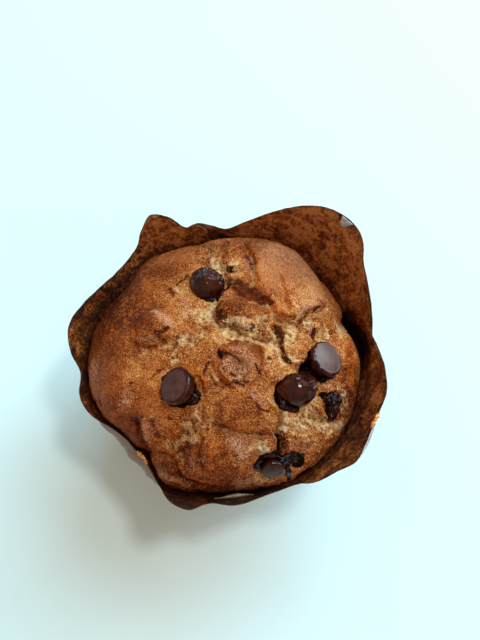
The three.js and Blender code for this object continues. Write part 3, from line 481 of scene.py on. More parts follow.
def noise(points, size, seed):
    """Noise from -1 to 1 whose lumps have that size, at points (..., 3)."""
    scaled = points / size
    cells = np.floor(scaled).astype(np.int64)
    part = scaled - cells
    part = part * part * (3 - 2 * part)
    total = np.zeros(points.shape[:-1])
    for corner in itertools.product((0, 1), repeat=3):
        weight = np.prod(np.where(corner, part, 1 - part), axis=-1)
        total += weight * lattice(cells + np.array(corner), seed)
    return 2 * total - 1


def layered(points, size, seed, layers=3, gain=0.5):
    """Noise of a size with finer layers of half the size each."""
    return sum(gain ** layer * noise(points, size / 2 ** layer, seed + layer) for layer in range(layers))


def polar(azimuth, radius, height):
    angle = np.radians(azimuth)
    return np.stack([radius * np.cos(angle), radius * np.sin(angle), height + 0 * angle], axis=-1)


def turned_from(azimuth, centre):
    """How far an azimuth is turned from a centre, from -180 to 180."""
    return np.mod(azimuth - centre + TURN / 2, TURN) - TURN / 2


def beside_route(x, y, route):
    """Distance of plan points from a route, positive on its left, with the place along it and its length."""
    best = np.full(x.shape, np.inf)
    side = np.zeros(x.shape)
    place = np.zeros(x.shape)
    travelled = 0.0
    for (ax, ay), (bx, by) in zip(route, route[1:]):
        dx = bx - ax
        dy = by - ay
        length = math.hypot(dx, dy)
        t = np.clip(((x - ax) * dx + (y - ay) * dy) / length ** 2, 0, 1)
        distance = np.hypot(x - ax - t * dx, y - ay - t * dy)
        nearer = distance < best
        best = np.where(nearer, distance, best)
        side = np.where(nearer, np.sign(dx * (y - ay) - dy * (x - ax)), side)
        place = np.where(nearer, travelled + t * length, place)
        travelled += length
    return best, side * best, place, travelled


def elliptic(x, y, cx, cy, rx, ry, turn=0.0):
    """Distance of plan points from a centre, in units of an ellipse's own radius."""
    angle = math.radians(turn)
    u = (x - cx) * math.cos(angle) + (y - cy) * math.sin(angle)
    v = (y - cy) * math.cos(angle) - (x - cx) * math.sin(angle)
    return np.hypot(u / rx, v / ry)


def hill(distance):
    return np.exp(-distance * distance)


# ---- The walls that crust and paper share ----
crust_outline = closed_curve(*zip(*CRUST_OUTLINE), TURN)
curl_bulge = closed_curve(*zip(*CURL), TURN)


def crust_radius(azimuth):
    return crust_outline(azimuth)[..., 0]


def inner_wall_radius(azimuth, height):
    """Radius of the paper's inner face, up to the shoulder."""
    shoulder = crust_radius(azimuth) + TOUCH
    belly = shoulder - BELLY_TUCK
    up = np.clip(height / BELLY_HEIGHT, 0, 1)
    over = np.clip((height - BELLY_HEIGHT) / (SHOULDER_HEIGHT - BELLY_HEIGHT), 0, 1) * np.pi / 2
    curl = curl_bulge(azimuth)[..., 0] * up * np.cos(over)
    return FOOT_RADIUS + (belly - FOOT_RADIUS) * up + (shoulder - belly) * np.sin(over) + curl


# ---- The crust's surface ----
def crack_fields(x, y):
    """Relief, open crumb and scorched edges of all cracks at plan points."""
    relief = np.zeros(x.shape)
    crumb = np.zeros(x.shape)
    amber = np.zeros(x.shape)
    for number, (route, half, depth, step, shown) in enumerate(CRACKS):
        distance, signed, place, length = beside_route(x, y, route)
        taper = smoothstep(0, CRACK_TAPER, place) * smoothstep(0, CRACK_TAPER, length - place)
        along = np.stack([place, 0 * place + 9 * number, 0 * place], axis=-1)
        taper = taper * np.clip(0.85 + 0.5 * layered(along, 3.0, SEEDS["cracks"], 2), 0.2, 1.4)
        high_side = np.sign(step) * signed
        reach = np.where(high_side > 0, STEP_REACH, STEP_FOOT)
        ledge = 0.5 * np.tanh(high_side / STEP_BLUNT) * hill(distance / reach)
        shift = 0.9 * half if step else 0.0
        groove = depth * hill((high_side + shift) / half if step else distance / half)
        relief += taper * (abs(step) * ledge - groove)
        scorch = 0.7 * hill((high_side - 0.1) / 0.5) if step else 0.5 * hill((distance - half - 0.2) / 0.5)
        amber = np.maximum(amber, taper * scorch)
        if shown:
            band = shown / 2
            beside = high_side + 1.1 * band if step else distance
            crumb = np.maximum(crumb, taper * hill(beside / band))
    return relief, crumb, amber


def ring_fields(x, y):
    """Relief and scorched edges of the dish and of the disc in it, with a gap along part of the disc."""
    dish_x, dish_y = [value - centre for value, centre in zip((x, y), RING_MARK["at"])]
    disc_x, disc_y = [value - centre for value, centre in zip((x, y), RING_MARK["disc_at"])]
    dish = np.hypot(dish_x, dish_y) - RING_MARK["radius"]
    disc = np.hypot(disc_x, disc_y) - RING_MARK["disc_radius"]
    way = np.arctan2(dish_y, dish_x)
    disc_way = np.arctan2(disc_y, disc_x)
    strong = 0.6 + 0.4 * np.cos(way - math.radians(RING_MARK["strongest"]))
    gap = np.maximum(np.cos(disc_way - math.radians(RING_MARK["gap_azimuth"])), 0) ** 1.5
    relief = 0.3 * strong * hill((dish - 0.6) / 0.7)
    relief -= RING_MARK["depth"] * strong * smoothstep(0.3, -0.5, dish) * smoothstep(-7.0, -1.5, dish)
    relief += RING_MARK["disc_height"] * smoothstep(0.2, -0.3, disc) * smoothstep(-5.0, -0.6, disc)
    relief -= RING_MARK["gap"] * gap * hill((disc - 0.45) / 0.45)
    amber = strong ** 2 * hill((dish - 0.2) / 0.9) + 0.7 * gap * hill((disc - 0.6) / 0.5)
    return relief, np.minimum(amber, 1.0)


def pore_field(x, y, crumb):
    """Round holes: the listed ones, and small ones drawn mostly in the open crumb."""
    rng = np.random.default_rng(SEEDS["pores"])
    likely = crumb ** 2 * (np.hypot(x, y) < PORES_WITHIN)
    centres = rng.choice(len(x), PORES, replace=False, p=likely / likely.sum())
    radii = rng.uniform(*PORE_RADIUS, PORES)
    holes = HOLES + list(zip(x[centres], y[centres], radii))
    pore = np.zeros(x.shape)
    for cx, cy, radius in holes:
        near = np.flatnonzero(np.abs(x - cx) < 2.2 * radius)
        near = near[np.abs(y[near] - cy) < 2.2 * radius]
        distance = np.hypot(x[near] - cx, y[near] - cy) / radius
        pore[near] = np.maximum(pore[near], hill(distance ** 1.5) * min(radius / 0.5, 1.0))
    return pore


def stroke_field(x, y, points, strokes, seed):
    """How strongly a set of strokes covers the crust, with ragged edges."""
    covered = np.zeros(x.shape)
    ragged = 1 + 0.55 * layered(points, 1.2, seed, 3, 0.6)
    for route, half_width, strength in strokes:
        ends = np.array(route)
        margin = 3 * half_width + 0.5
        inside = (x > ends[:, 0].min() - margin) & (x < ends[:, 0].max() + margin)
        inside &= (y > ends[:, 1].min() - margin) & (y < ends[:, 1].max() + margin)
        near = np.flatnonzero(inside)
        distance = beside_route(x[near], y[near], route)[0] * ragged[near]
        cover = strength * smoothstep(1.7 * half_width, 0.3 * half_width, distance)
        covered[near] = np.maximum(covered[near], cover)
    return covered


def melt_and_shade_field(x, y, points):
    """Where melted chocolate lines the crust, with ragged edges, and painted contact shade round chips."""
    lined = stroke_field(x, y, points, MELTED_SEAMS, SEEDS["seams"])
    ragged = 0.45 * layered(points, 1.6, SEEDS["beds"], 3, 0.6)
    for cx, cy, rx, ry, turn in MELT_AND_SHADE_BEDS:
        beyond = (elliptic(x, y, cx, cy, rx, ry, turn) - 1) * min(rx, ry) + ragged
        lined = np.maximum(lined, smoothstep(0.35, -0.15, beyond))
    return lined


def local_height(x, y, relief):
    """How far the relief stands above the mean of its surroundings, in millimetres."""
    cells = int(2 * MAP_HALF / MAP_STEP)
    column = np.clip(((x + MAP_HALF) / MAP_STEP).astype(int), 0, cells - 1)
    row = np.clip(((y + MAP_HALF) / MAP_STEP).astype(int), 0, cells - 1)
    cell = row * cells + column
    sums = [np.bincount(cell, weights, cells * cells).reshape(cells, cells) for weights in (relief, None)]
    reach = int(MAP_REACH / MAP_STEP)
    for axis in (0, 1, 0, 1):
        sums = [sum(np.roll(values, shift, axis) for shift in range(-reach, reach + 1)) for values in sums]
    mean = sums[0] / np.maximum(sums[1], 1)
    return relief - mean.ravel()[cell]


def crumb_field(x, y, points, cracks):
    """How far the pale inside lies open, from 0 to 1, with a ragged edge."""
    crumb = cracks.copy()
    for *place, strength in CRUMB_ZONES:
        crumb = np.maximum(crumb, strength * (1.3 - elliptic(x, y, *place)))
    ragged = 0.3 * layered(points, 2.6, SEEDS["crumb"], 3, 0.65)
    return smoothstep(0.15, 1.0, crumb + ragged)


def coarse_field(x, y, points):
    """How broken up the crust is, from 0 on its smooth lobes to 1 where it has split."""
    near = np.zeros(x.shape)
    for cx, cy, rx, ry, turn, strength in CRUMB_ZONES:
        distance = elliptic(x, y, cx, cy, rx + CRUMB_SURROUNDINGS, ry + CRUMB_SURROUNDINGS, turn)
        near = np.maximum(near, strength * hill(distance / 1.5))
    *place, strength = BROKEN_MIDDLE
    middle = strength * hill(elliptic(x, y, *place))
    broken = np.maximum(near, middle) + 0.2 * layered(points, 5.0, SEEDS["coarse"], 2)
    return np.clip(broken * (1 - 0.6 * rosy_skin_and_sheen_field(x, y, points)), 0, 1)


def rosy_skin_and_sheen_field(x, y, points):
    """How smooth and rosy the skin is, from 0 to 1; its rosy tone is partly a painted sheen."""
    rosy = np.zeros(x.shape)
    for *place, strength in ROSY_SKIN_AND_SHEEN:
        rosy = np.maximum(rosy, strength * hill(elliptic(x, y, *place) ** 1.4))
    return np.clip(rosy + 0.15 * layered(points, 4.0, SEEDS["rosy"], 2) * rosy, 0, 1)


def browning_field(x, y, points):
    """How dark the crust has baked, about 0 to 1."""
    toast = 0.5 + 0.06 * layered(points, 8, SEEDS["browning"], 2)
    toast = toast + 0.07 * layered(points, 2.4, SEEDS["fine_browning"], 2)
    toast += RIM_DARKENING * (smoothstep(18, 40, np.hypot(x, y)) - 0.5)
    for *place, amount in BROWNING:
        toast += amount * hill(elliptic(x, y, *place))
    return toast


def dome(azimuth, fraction):
    """The smooth dome's points and the ways that they face."""
    radius = fraction * crust_radius(azimuth)
    rise = DOME_RISE * np.sqrt(np.maximum(1 - fraction ** DOME_POWER, 0))
    points = polar(azimuth, radius, SHOULDER_HEIGHT + rise)
    across = crust_radius(azimuth) ** 2
    facing = np.stack([points[..., 0] / across, points[..., 1] / across, rise / DOME_RISE ** 2], axis=-1)
    return points, facing / np.linalg.norm(facing, axis=-1, keepdims=True)


def crust_surface(azimuth, fraction, with_pores=False):
    """The crust's points, with the fields that its finish needs."""
    points, facing = dome(azimuth, fraction)
    warp, warp_across = [
        sum(height * noise(points, size, SEEDS[name] + layer) for layer, (height, size) in enumerate(WARPS))
        for name in ("warp", "warp_across")
    ]
    x = points[..., 0]
    y = points[..., 1]
    cracks, open_crumb, amber = crack_fields(x + warp, y + warp_across)
    ring, ring_amber = ring_fields(x + 0.4 * warp, y + 0.4 * warp_across)
    crumb = crumb_field(x, y, points, open_crumb)
    relief = RELIEF_GAIN * (cracks + ring)
    for *place, height in SWELLS:
        relief += RELIEF_GAIN * height * hill(elliptic(x, y, *place) ** 1.7)
    for *place, height in BUMPS:
        relief += RELIEF_GAIN * height * hill(elliptic(x + warp, y + warp_across, *place) ** 3.2)
    for cx, cy, radius, depth in DIPS:
        relief -= depth * hill((np.hypot(x - cx, y - cy) / radius) ** 2)
    coarse = coarse_field(x, y, points)
    lumps = layered(points, 6.0, SEEDS["lumps"], 3, 0.6)
    relief += (0.25 + 0.2 * coarse) * lumps
    clods = sum(share * np.abs(noise(points, size, SEEDS["clods"])) for share, size in CLODS)
    relief += (0.1 + 0.85 * coarse) * (clods - 0.5)
    rough = 0.04 + 0.13 * coarse + 0.16 * crumb
    relief += rough * layered(points, 1.1, SEEDS["rough"], 2, 0.8) - CRUMB_DROP * crumb
    smears = smoothstep(0.25, 0.8, layered(points, 3.0, SEEDS["smears"], 3, 0.6)) * coarse
    pore = pore_field(x, y, crumb) if with_pores else np.zeros(x.shape)
    relief -= PORE_DEPTH * pore
    hold = 1 - smoothstep(RELIEF_WITHIN, 1.0, fraction)
    raised = np.clip(local_height(x, y, relief) / 0.7, -1, 1) * hold if with_pores else 0 * x
    scorches = stroke_field(x, y, points, SCORCHES, SEEDS["scorches"])
    amber = np.maximum(np.maximum(amber, ring_amber), np.maximum(scorches, 0.6 * smears))
    dents = RIM_DENT * np.maximum(layered(points, 4.0, SEEDS["dents"], 3, 0.6), 0)
    dents = dents * smoothstep(0.82, 1.0, fraction)
    outward = polar(azimuth, np.ones(azimuth.shape), 0.0)
    placed = points + facing * (hold * relief)[..., None] - outward * dents[..., None]
    # Melted chocolate lining the crust, partly painted contact shade round the chips.
    melt = melt_and_shade_field(x, y, points)
    fields = {
        "crumb": crumb * smoothstep(0.0, 0.2, hold) * (1 - melt) * (1 - 0.6 * scorches),
        "amber": np.clip(amber, 0, 1) * (1 - 0.6 * crumb),
        "raised": raised,
        "coarse": coarse * (1 - melt),
        # Rosy skin, whose paler pink is partly a painted sheen.
        "rosy": rosy_skin_and_sheen_field(x, y, points),
        "melt": melt,
        "toast": browning_field(x, y, points),
        "stain": stroke_field(x, y, points, STAINS, SEEDS["stains"]),
        # Painted highlights on ridges and rims.
        "sheen": stroke_field(x, y, points, PAINTED_SHEENS, SEEDS["sheens"]),
        "pore": pore,
    }
    return placed, fields


def crust_over(x, y):
    azimuth = np.degrees(np.arctan2(y, x))
    return crust_surface(azimuth, np.hypot(x, y) / crust_radius(azimuth))[0]


# ---- Mesh helpers ----
def disc_faces(rings):
    """Triangles of a disc whose ring k has 6k points. Its centre is point 0."""
    faces = []
    inner = np.array([0])
    start = 1
    for ring in range(1, rings + 1):
        count = 6 * ring
        step = np.arange(count)
        outer = start + step
        side, within = np.divmod(step, ring)
        here = inner[(side * (ring - 1) + within) % len(inner)]
        onward = outer[(step + 1) % count]
        there = inner[(side * (ring - 1) + within + 1) % len(inner)]
        faces.append(np.column_stack([here, outer, onward]))
        faces.append(np.column_stack([here, onward, there])[within + 1 < ring])
        inner = outer
        start += count
    return np.concatenate(faces)


def disc_places(rings):
    """Azimuth and ring, from 0 to 1, of each point of such a disc."""
    azimuth = [np.zeros(1)]
    ring_of = [np.zeros(1)]
    for ring in range(1, rings + 1):
        azimuth.append(np.arange(6 * ring) * TURN / (6 * ring))
        ring_of.append(np.full(6 * ring, ring / rings))
    return np.concatenate(azimuth), np.concatenate(ring_of)


def grid_faces(rows, columns, closed=True, start=0):
    """Quads between rows of points, each row running round."""
    row = np.arange(rows - 1)[:, None]
    column = np.arange(columns if closed else columns - 1)[None, :]
    here = start + row * columns + column
    onward = start + row * columns + (column + 1) % columns
    return np.stack([here, onward, onward + columns, here + columns], axis=-1).reshape(-1, 4)


def fan_faces(centre, ring, outward=True):
    onward = np.roll(ring, -1)
    middle = np.full(len(ring), centre)
    order = [middle, ring, onward] if outward else [middle, onward, ring]
    return np.column_stack(order)


def rim_wall(rim, count):
    """Quads that join a rim to its copy, whose points come that many places later."""
    onward = np.roll(rim, -1)
    return np.column_stack([rim, rim + count, onward + count, onward])


def joined(parts):
    """One array of points and one list of face sets from several parts' points and face sets."""
    points = []
    face_sets = []
    start = 0
    for part_points, part_face_sets in parts:
        points.append(part_points)
        face_sets += [faces + start for faces in part_face_sets]
        start += len(part_points)
    return np.concatenate(points), face_sets


def add_object(name, data):
    made = bpy.data.objects.new(name, data)
    bpy.context.scene.collection.objects.link(made)
    return made


def make_piece(name, points, face_sets, materials, fields=None):
    """An object at the origin with its points in the frame. A face set is faces, or faces with the number
    of their material."""
    faces = []
    numbers = []
    for face_set in face_sets:
        group, number = face_set if isinstance(face_set, tuple) else (face_set, 0)
        faces += group.tolist()
        numbers += [number] * len(group)
    mesh = bpy.data.meshes.new(name)
    mesh.from_pydata((points * MM).tolist(), [], faces)
    mesh.polygons.foreach_set("material_index", numbers)
    mesh.shade_smooth()
    for material in materials:
        mesh.materials.append(material)
    for field, values in (fields or {}).items():
        mesh.attributes.new(field, "FLOAT", "POINT").data.foreach_set("value", values.astype(np.float32))
    return add_object(name, mesh)


def grid_normals(points, closed=True):
    """The ways that a grid of points (rows, columns, 3) faces."""
    if closed:
        across = np.roll(points, -1, axis=1) - np.roll(points, 1, axis=1)
    else:
        across = np.gradient(points, axis=1)
    along = np.gradient(points, axis=0)
    normals = np.cross(across, along)
    return normals / np.maximum(np.linalg.norm(normals, axis=-1, keepdims=True), 1e-9)


# ---- Nodes ----
def srgb(red, green, blue):
    """A colour given as it looks on a screen, from 0 to 255, as the linear numbers that sockets take."""
    parts = [part / 255 for part in (red, green, blue)]
    return tuple(p / 12.92 if p <= 0.04045 else ((p + 0.055) / 1.055) ** 2.4 for p in parts) + (1.0,)


class Wire:
    """A socket's value in an expression. Each operator adds the Math node that works it out."""

    def __init__(self, tree, socket):
        self.tree = tree
        self.socket = socket

    def math(self, operation, first, second):
        return self.tree.node("ShaderNodeMath", {"operation": operation}, {0: first, 1: second})

    def __add__(self, other):
        return self.math("ADD", self, other)

    def __radd__(self, other):
        return self.math("ADD", other, self)

    def __sub__(self, other):
        return self.math("SUBTRACT", self, other)

    def __rsub__(self, other):
        return self.math("SUBTRACT", other, self)

    def __mul__(self, other):
        return self.math("MULTIPLY", self, other)

    def __rmul__(self, other):
        return self.math("MULTIPLY", other, self)


class NodeTree:
    """A shader's or a geometry's tree, with one method that makes any node."""

    def __init__(self, tree):
        self.tree = tree
        self.coordinates = None

    def node(self, kind, settings=None, inputs=None, output=0):
        """Makes a node: settings first, then the values or links of its sockets. Gives one output."""
        made = self.tree.nodes.new(kind)
        for name, value in (settings or {}).items():
            if name == "stops":
                self.set_stops(made.color_ramp, value)
            else:
                setattr(made, name, value)
        for key, value in (inputs or {}).items():
            socket = self.find(made.inputs, key)
            if isinstance(value, Wire):
                self.tree.links.new(value.socket, socket)
            else:
                socket.default_value = value
        return Wire(self, self.find(made.outputs, output)) if len(made.outputs) else made

    @staticmethod
    def find(sockets, key):
        if isinstance(key, int):
            return sockets[key]
        return next(s for s in sockets if s.enabled and key in (s.identifier, s.name))

    @staticmethod
    def set_stops(ramp, stops):
        """A stop is a position and a colour as it looks on a screen."""
        while len(ramp.elements) < len(stops):
            ramp.elements.new(1.0)
        for element, (position, *colour) in zip(ramp.elements, stops):
            element.position = position
            element.color = srgb(*colour)

    def place(self, scale=(1, 1, 1)):
        """Object coordinates, stretched where a pattern runs one way."""
        if self.coordinates is None:
            self.coordinates = self.node("ShaderNodeTexCoord", output="Object")
        if scale == (1, 1, 1):
            return self.coordinates
        return self.node("ShaderNodeMapping", inputs={"Vector": self.coordinates, "Scale": scale})

    def noise(self, size, detail=2.0, roughness=0.5, distortion=0.0, scale=(1, 1, 1)):
        """Noise from 0 to 1 whose lumps have about that size in millimetres."""
        values = {"Vector": self.place(scale), "Scale": 1 / (size * MM), "Detail": detail,
                  "Roughness": roughness, "Distortion": distortion}
        return self.node("ShaderNodeTexNoise", inputs=values, output="Fac")

    def field(self, name):
        return self.node("ShaderNodeAttribute", {"attribute_name": name}, output="Fac")

    def ramp(self, value, stops, interpolation="EASE"):
        made = self.node("ShaderNodeValToRGB", {"stops": stops}, {"Fac": value}, "Color")
        made.socket.node.color_ramp.interpolation = interpolation
        return made

    def between(self, value, low, high):
        """0 below low, 1 above high, and a soft rise from one to the other."""
        values = {"Value": value, "From Min": low, "From Max": high}
        return self.node("ShaderNodeMapRange", {"interpolation_type": "SMOOTHSTEP"}, values, "Result")

    def blend(self, factor, first, second):
        """A mix of two colours."""
        values = {"Factor_Float": factor, "A_Color": first, "B_Color": second}
        return self.node("ShaderNodeMix", {"data_type": "RGBA"}, values, "Result_Color")

    def bump(self, height, distance, strength):
        """A normal bent by a height from 0 to 1 that stands for that many millimetres."""
        values = {"Height": height, "Distance": distance * MM, "Strength": strength}
        return self.node("ShaderNodeBump", inputs=values, output="Normal")


def make_material(name, build):
    """A material whose Principled shader's sockets are what build gives for its tree."""
    material = bpy.data.materials.new(name)
    material.use_nodes = True
    material.node_tree.nodes.clear()
    tree = NodeTree(material.node_tree)
    shader = tree.node("ShaderNodeBsdfPrincipled", inputs=build(tree), output="BSDF")
    tree.node("ShaderNodeOutputMaterial", inputs={"Surface": shader})
    return material


# ---- Finishes ----
FLOOR_COLOUR = (0.67, 0.92, 0.99, 1.0)


def crust_tone(tree, browned):
    """The colour of baked crust, from golden to dark brown."""
    return tree.ramp(browned, [
        (0.05, 246, 196, 130), (0.28, 224, 154, 86), (0.50, 178, 99, 40),
        (0.72, 124, 53, 13), (0.95, 70, 22, 3),
    ], "LINEAR")


def crust_finish(tree):
    """Baked crust: golden to dark brown, finely speckled, paler where the crumb lies open."""
    coarse = tree.field("coarse")
    rosy = tree.field("rosy")
    raised = tree.field("raised")
    fine = tree.between(tree.noise(0.38, 2.0, 0.7), 0.3, 0.7)
    speck = tree.between(tree.noise(1.5, 3.0, 0.7), 0.3, 0.7)
    patch = tree.between(tree.noise(5.0, 3.0, 0.6, 0.5), 0.3, 0.7)
    grain = (fine - 0.5) * (coarse * 0.38 + rosy * 0.14 + 0.34)
    grain = grain + (speck - 0.5) * (coarse * 0.13 + rosy * 0.06 + 0.06)
    browned = tree.field("toast") - grain + raised * (coarse * 0.2 + 0.08)
    browned = browned + (patch - 0.5) * (coarse * 0.16 + 0.07) - coarse * 0.035
    crust = crust_tone(tree, browned)
    # Rosy skin: paler and pinker than the crust, partly its own tone and partly a painted sheen.
    skin = tree.ramp(browned, [(0.1, 232, 172, 130), (0.5, 184, 116, 78), (0.9, 122, 62, 34)])
    crust = tree.blend(tree.between(rosy + patch * 0.3, 0.1, 1.2) * 0.8, crust, skin)
    scorched = tree.ramp(fine * 0.6 + speck * 0.4, [(0.1, 116, 38, 6), (0.9, 214, 112, 28)])
    edged = tree.between(tree.field("amber") + (speck - 0.5) * 0.6 + (fine - 0.5) * 0.3, 0.15, 0.95)
    crust = tree.blend(edged * 0.8, crust, scorched)
    # Painted highlights: tiny pale specks stand in for light caught by the grains.
    glints = tree.between(tree.noise(0.42, 1.0, 0.5, 0.6), 0.56, 0.72) * (coarse * 0.3 + 0.08)
    crust = tree.blend(glints, crust, srgb(236, 180, 134))
    embers = tree.between(tree.noise(0.7, 2.0, 0.6, 0.8), 0.56, 0.7) * coarse * 0.6
    crust = tree.blend(embers, crust, srgb(112, 32, 12))
    # Painted highlights: a pale pinkish sheen on ridges and rims.
    painted_sheen_cover = tree.between(tree.field("sheen") + (fine - 0.5) * 0.5 + (speck - 0.5) * 0.3, 0.15, 1.0)
    crust = tree.blend(painted_sheen_cover * 0.7, crust, tree.ramp(fine, [(0.1, 144, 84, 54), (0.9, 224, 172, 138)]))
    # Painted shade: crumb in hollows is darker and raised crumb paler.
    crumbs = tree.ramp(fine * 0.35 + speck * 0.25 + raised * 0.35 + 0.2, [
        (0.0, 152, 96, 48), (0.3, 224, 166, 106), (0.55, 248, 206, 150), (0.9, 254, 232, 190),
    ], "LINEAR")
    golden = tree.ramp(fine, [(0.1, 150, 84, 26), (0.9, 218, 156, 78)])
    crumbs = tree.blend(tree.between(tree.field("toast"), 0.5, 0.95) * 0.8, crumbs, golden)
    bared = tree.field("crumb") + (speck - 0.5) * 0.5 + (fine - 0.5) * 0.3 - raised * 0.25
    colour = tree.blend(tree.between(bared, 0.1, 1.0) * 0.9, crust, crumbs)
    # Painted shade: holes are darkened in colour.
    colour = tree.blend(tree.field("pore") * 0.85, colour, srgb(52, 24, 9))
    stain = tree.field("stain")
    soaked = tree.between(stain + (speck - 0.5) * 0.8 + (fine - 0.5) * 0.6, 0.4, 0.7)
    juice = tree.ramp(stain + (fine - 0.5) * 0.4, [(0.3, 116, 32, 8), (0.6, 68, 16, 8), (0.9, 28, 8, 6)])
    colour = tree.blend(soaked * 0.92, colour, juice)
    # Black melted chocolate; round the chips it is partly painted contact shade.
    melt = tree.between(tree.field("melt") + (speck - 0.5) * 0.2, 0.45, 0.7)
    colour = tree.blend(melt, colour, srgb(16, 5, 4))
    height = (fine * 0.6 + speck * 0.4) * (coarse * 0.6 + 0.4) * (1.0 - melt * 0.9)
    return {
        "Base Color": colour,
        "Roughness": 0.64 + coarse * 0.14 - melt * 0.6 - rosy * 0.12,
        "Specular IOR Level": 0.09,
        "Normal": tree.bump(height, 0.45, 1.0),
    }


def loose_crumb_finish(tree):
    """Grains and crumbs: as brown as the crust they lie on, paler on open crumb."""
    tone = tree.noise(0.9, 2.0)
    pale = tree.ramp(tone, [(0.3, 160, 112, 62), (0.5, 206, 160, 106), (0.7, 236, 204, 156)])
    browned = tree.field("toast") + (tone - 0.5) * 1.2 - 0.12
    colour = tree.blend(tree.field("crumb"), crust_tone(tree, browned), pale)
    return {"Base Color": colour, "Roughness": 0.8, "Specular IOR Level": 0.3}


def paper_inside_finish(tree):
    """Inside of the baking paper: dark brown, mottled with butter, painted shade, pale where it is torn."""
    torn = tree.field("torn")
    blots = tree.noise(3.0, 5.0, 0.76, 0.3)
    patches = tree.noise(9.0, 2.0, 0.5, 0.4)
    fibres = tree.noise(0.8, 3.0, 0.7, 0.3, (1, 1, 0.5))
    soaked = tree.field("soaked")
    # The soaked field is painted shade: on whole petals, in the first fold and beside the crust.
    mottled = (blots - 0.5) * 2.2 + (patches - 0.5) * 1.0 + (fibres - 0.5) * 1.6 + 0.58 - soaked * 0.55
    colour = tree.ramp(mottled, [
        (0.0, 40, 15, 8), (0.3, 84, 37, 10), (0.5, 120, 61, 19), (0.9, 186, 122, 68),
    ], "LINEAR")
    return {
        "Base Color": tree.blend(torn, colour, srgb(204, 168, 116)),
        "Roughness": 0.6 - (patches - 0.5) * 0.3,
        "Specular IOR Level": 0.3,
        "Normal": tree.bump(fibres, 0.1, 0.5),
    }


def paper_outside_finish(tree):
    """Outside of the baking paper: brown and satin, painted shade along the pressed folds, faint fibres."""
    fibres = tree.noise(0.8, 3.0, 0.6)
    patches = tree.noise(7.0, 3.0, 0.55, 0.3)
    colour = tree.ramp(patches * 0.6 + fibres * 0.4, [
        (0.35, 100, 66, 44), (0.55, 130, 92, 64), (0.72, 160, 120, 88),
    ])
    return {
        # The folded field is painted shade along the pressed folds.
        "Base Color": tree.blend(tree.field("folded") * 0.6, colour, srgb(66, 38, 24)),
        "Roughness": tree.between(patches, 0.3, 0.7) * 0.12 + 0.34,
        "Specular IOR Level": 0.5,
        "Normal": tree.bump(fibres, 0.1, 0.4),
    }


def paper_turned_finish(tree):
    """Turned-over corners and strips: waxy, pale grey unlike the brown case, beige where it was tucked in."""
    fibres = tree.noise(0.9, 2.0, 0.6)
    colour = tree.ramp(fibres, [(0.3, 130, 128, 130), (0.7, 178, 176, 180)])
    beige = tree.ramp(fibres, [(0.3, 120, 106, 78), (0.7, 172, 162, 128)])
    colour = tree.blend(tree.field("tucked"), colour, beige)
    return {"Base Color": colour, "Roughness": 0.4, "Normal": tree.bump(fibres, 0.08, 0.5)}


def paper_edge_finish(tree):
    """The paper's cut edge: brown, with paler fibres."""
    colour = tree.ramp(tree.noise(2.4, 2.0), [(0.4, 44, 24, 14), (0.7, 92, 60, 38)])
    return {"Base Color": colour, "Roughness": 0.7}


def chocolate_finish(tree):
    """Dark chocolate: satin, with a faint bloom on its flat feet."""
    foot = tree.field("foot")
    cloud = tree.noise(2.6, 3.0, 0.55)
    fine = tree.noise(0.5, 2.0)
    dark = tree.ramp(cloud, [(0.3, 28, 6, 3), (0.7, 70, 19, 10)])
    flat = tree.ramp(cloud, [(0.3, 66, 36, 34), (0.7, 88, 54, 50)])
    return {
        "Base Color": tree.blend(foot, dark, flat),
        "Roughness": 0.13 + foot * 0.17 + (cloud - 0.5) * 0.2,
        "Specular IOR Level": 0.32,
        "Normal": tree.bump((cloud * 0.85 + fine * 0.15) * (1.0 - foot * 0.8), 0.3, 0.6),
    }


def melted_finish(tree):
    """Melted chocolate: nearly black and glossy."""
    cloud = tree.noise(1.6, 3.0, 0.6)
    colour = tree.ramp(cloud, [(0.3, 16, 4, 4), (0.7, 42, 12, 10)])
    return {"Base Color": colour, "Roughness": 0.05 + cloud * 0.06, "Specular IOR Level": 0.22,
            "Normal": tree.bump(cloud, 0.3, 0.35)}


def floor_finish(_tree):
    """A pale, cool table top."""
    return {"Base Color": FLOOR_COLOUR, "Roughness": 0.6}


CRUST = make_material("baked_crust", crust_finish)
CRUMB = make_material("loose_crumb", loose_crumb_finish)
PAPER_INSIDE = make_material("paper_inside", paper_inside_finish)
PAPER_OUTSIDE = make_material("paper_outside", paper_outside_finish)
PAPER_TURNED = make_material("paper_turned", paper_turned_finish)
PAPER_EDGE = make_material("paper_edge", paper_edge_finish)
CHOCOLATE = make_material("dark_chocolate", chocolate_finish)
MELTED = make_material("melted_chocolate", melted_finish)
TABLE = make_material("table_top", floor_finish)


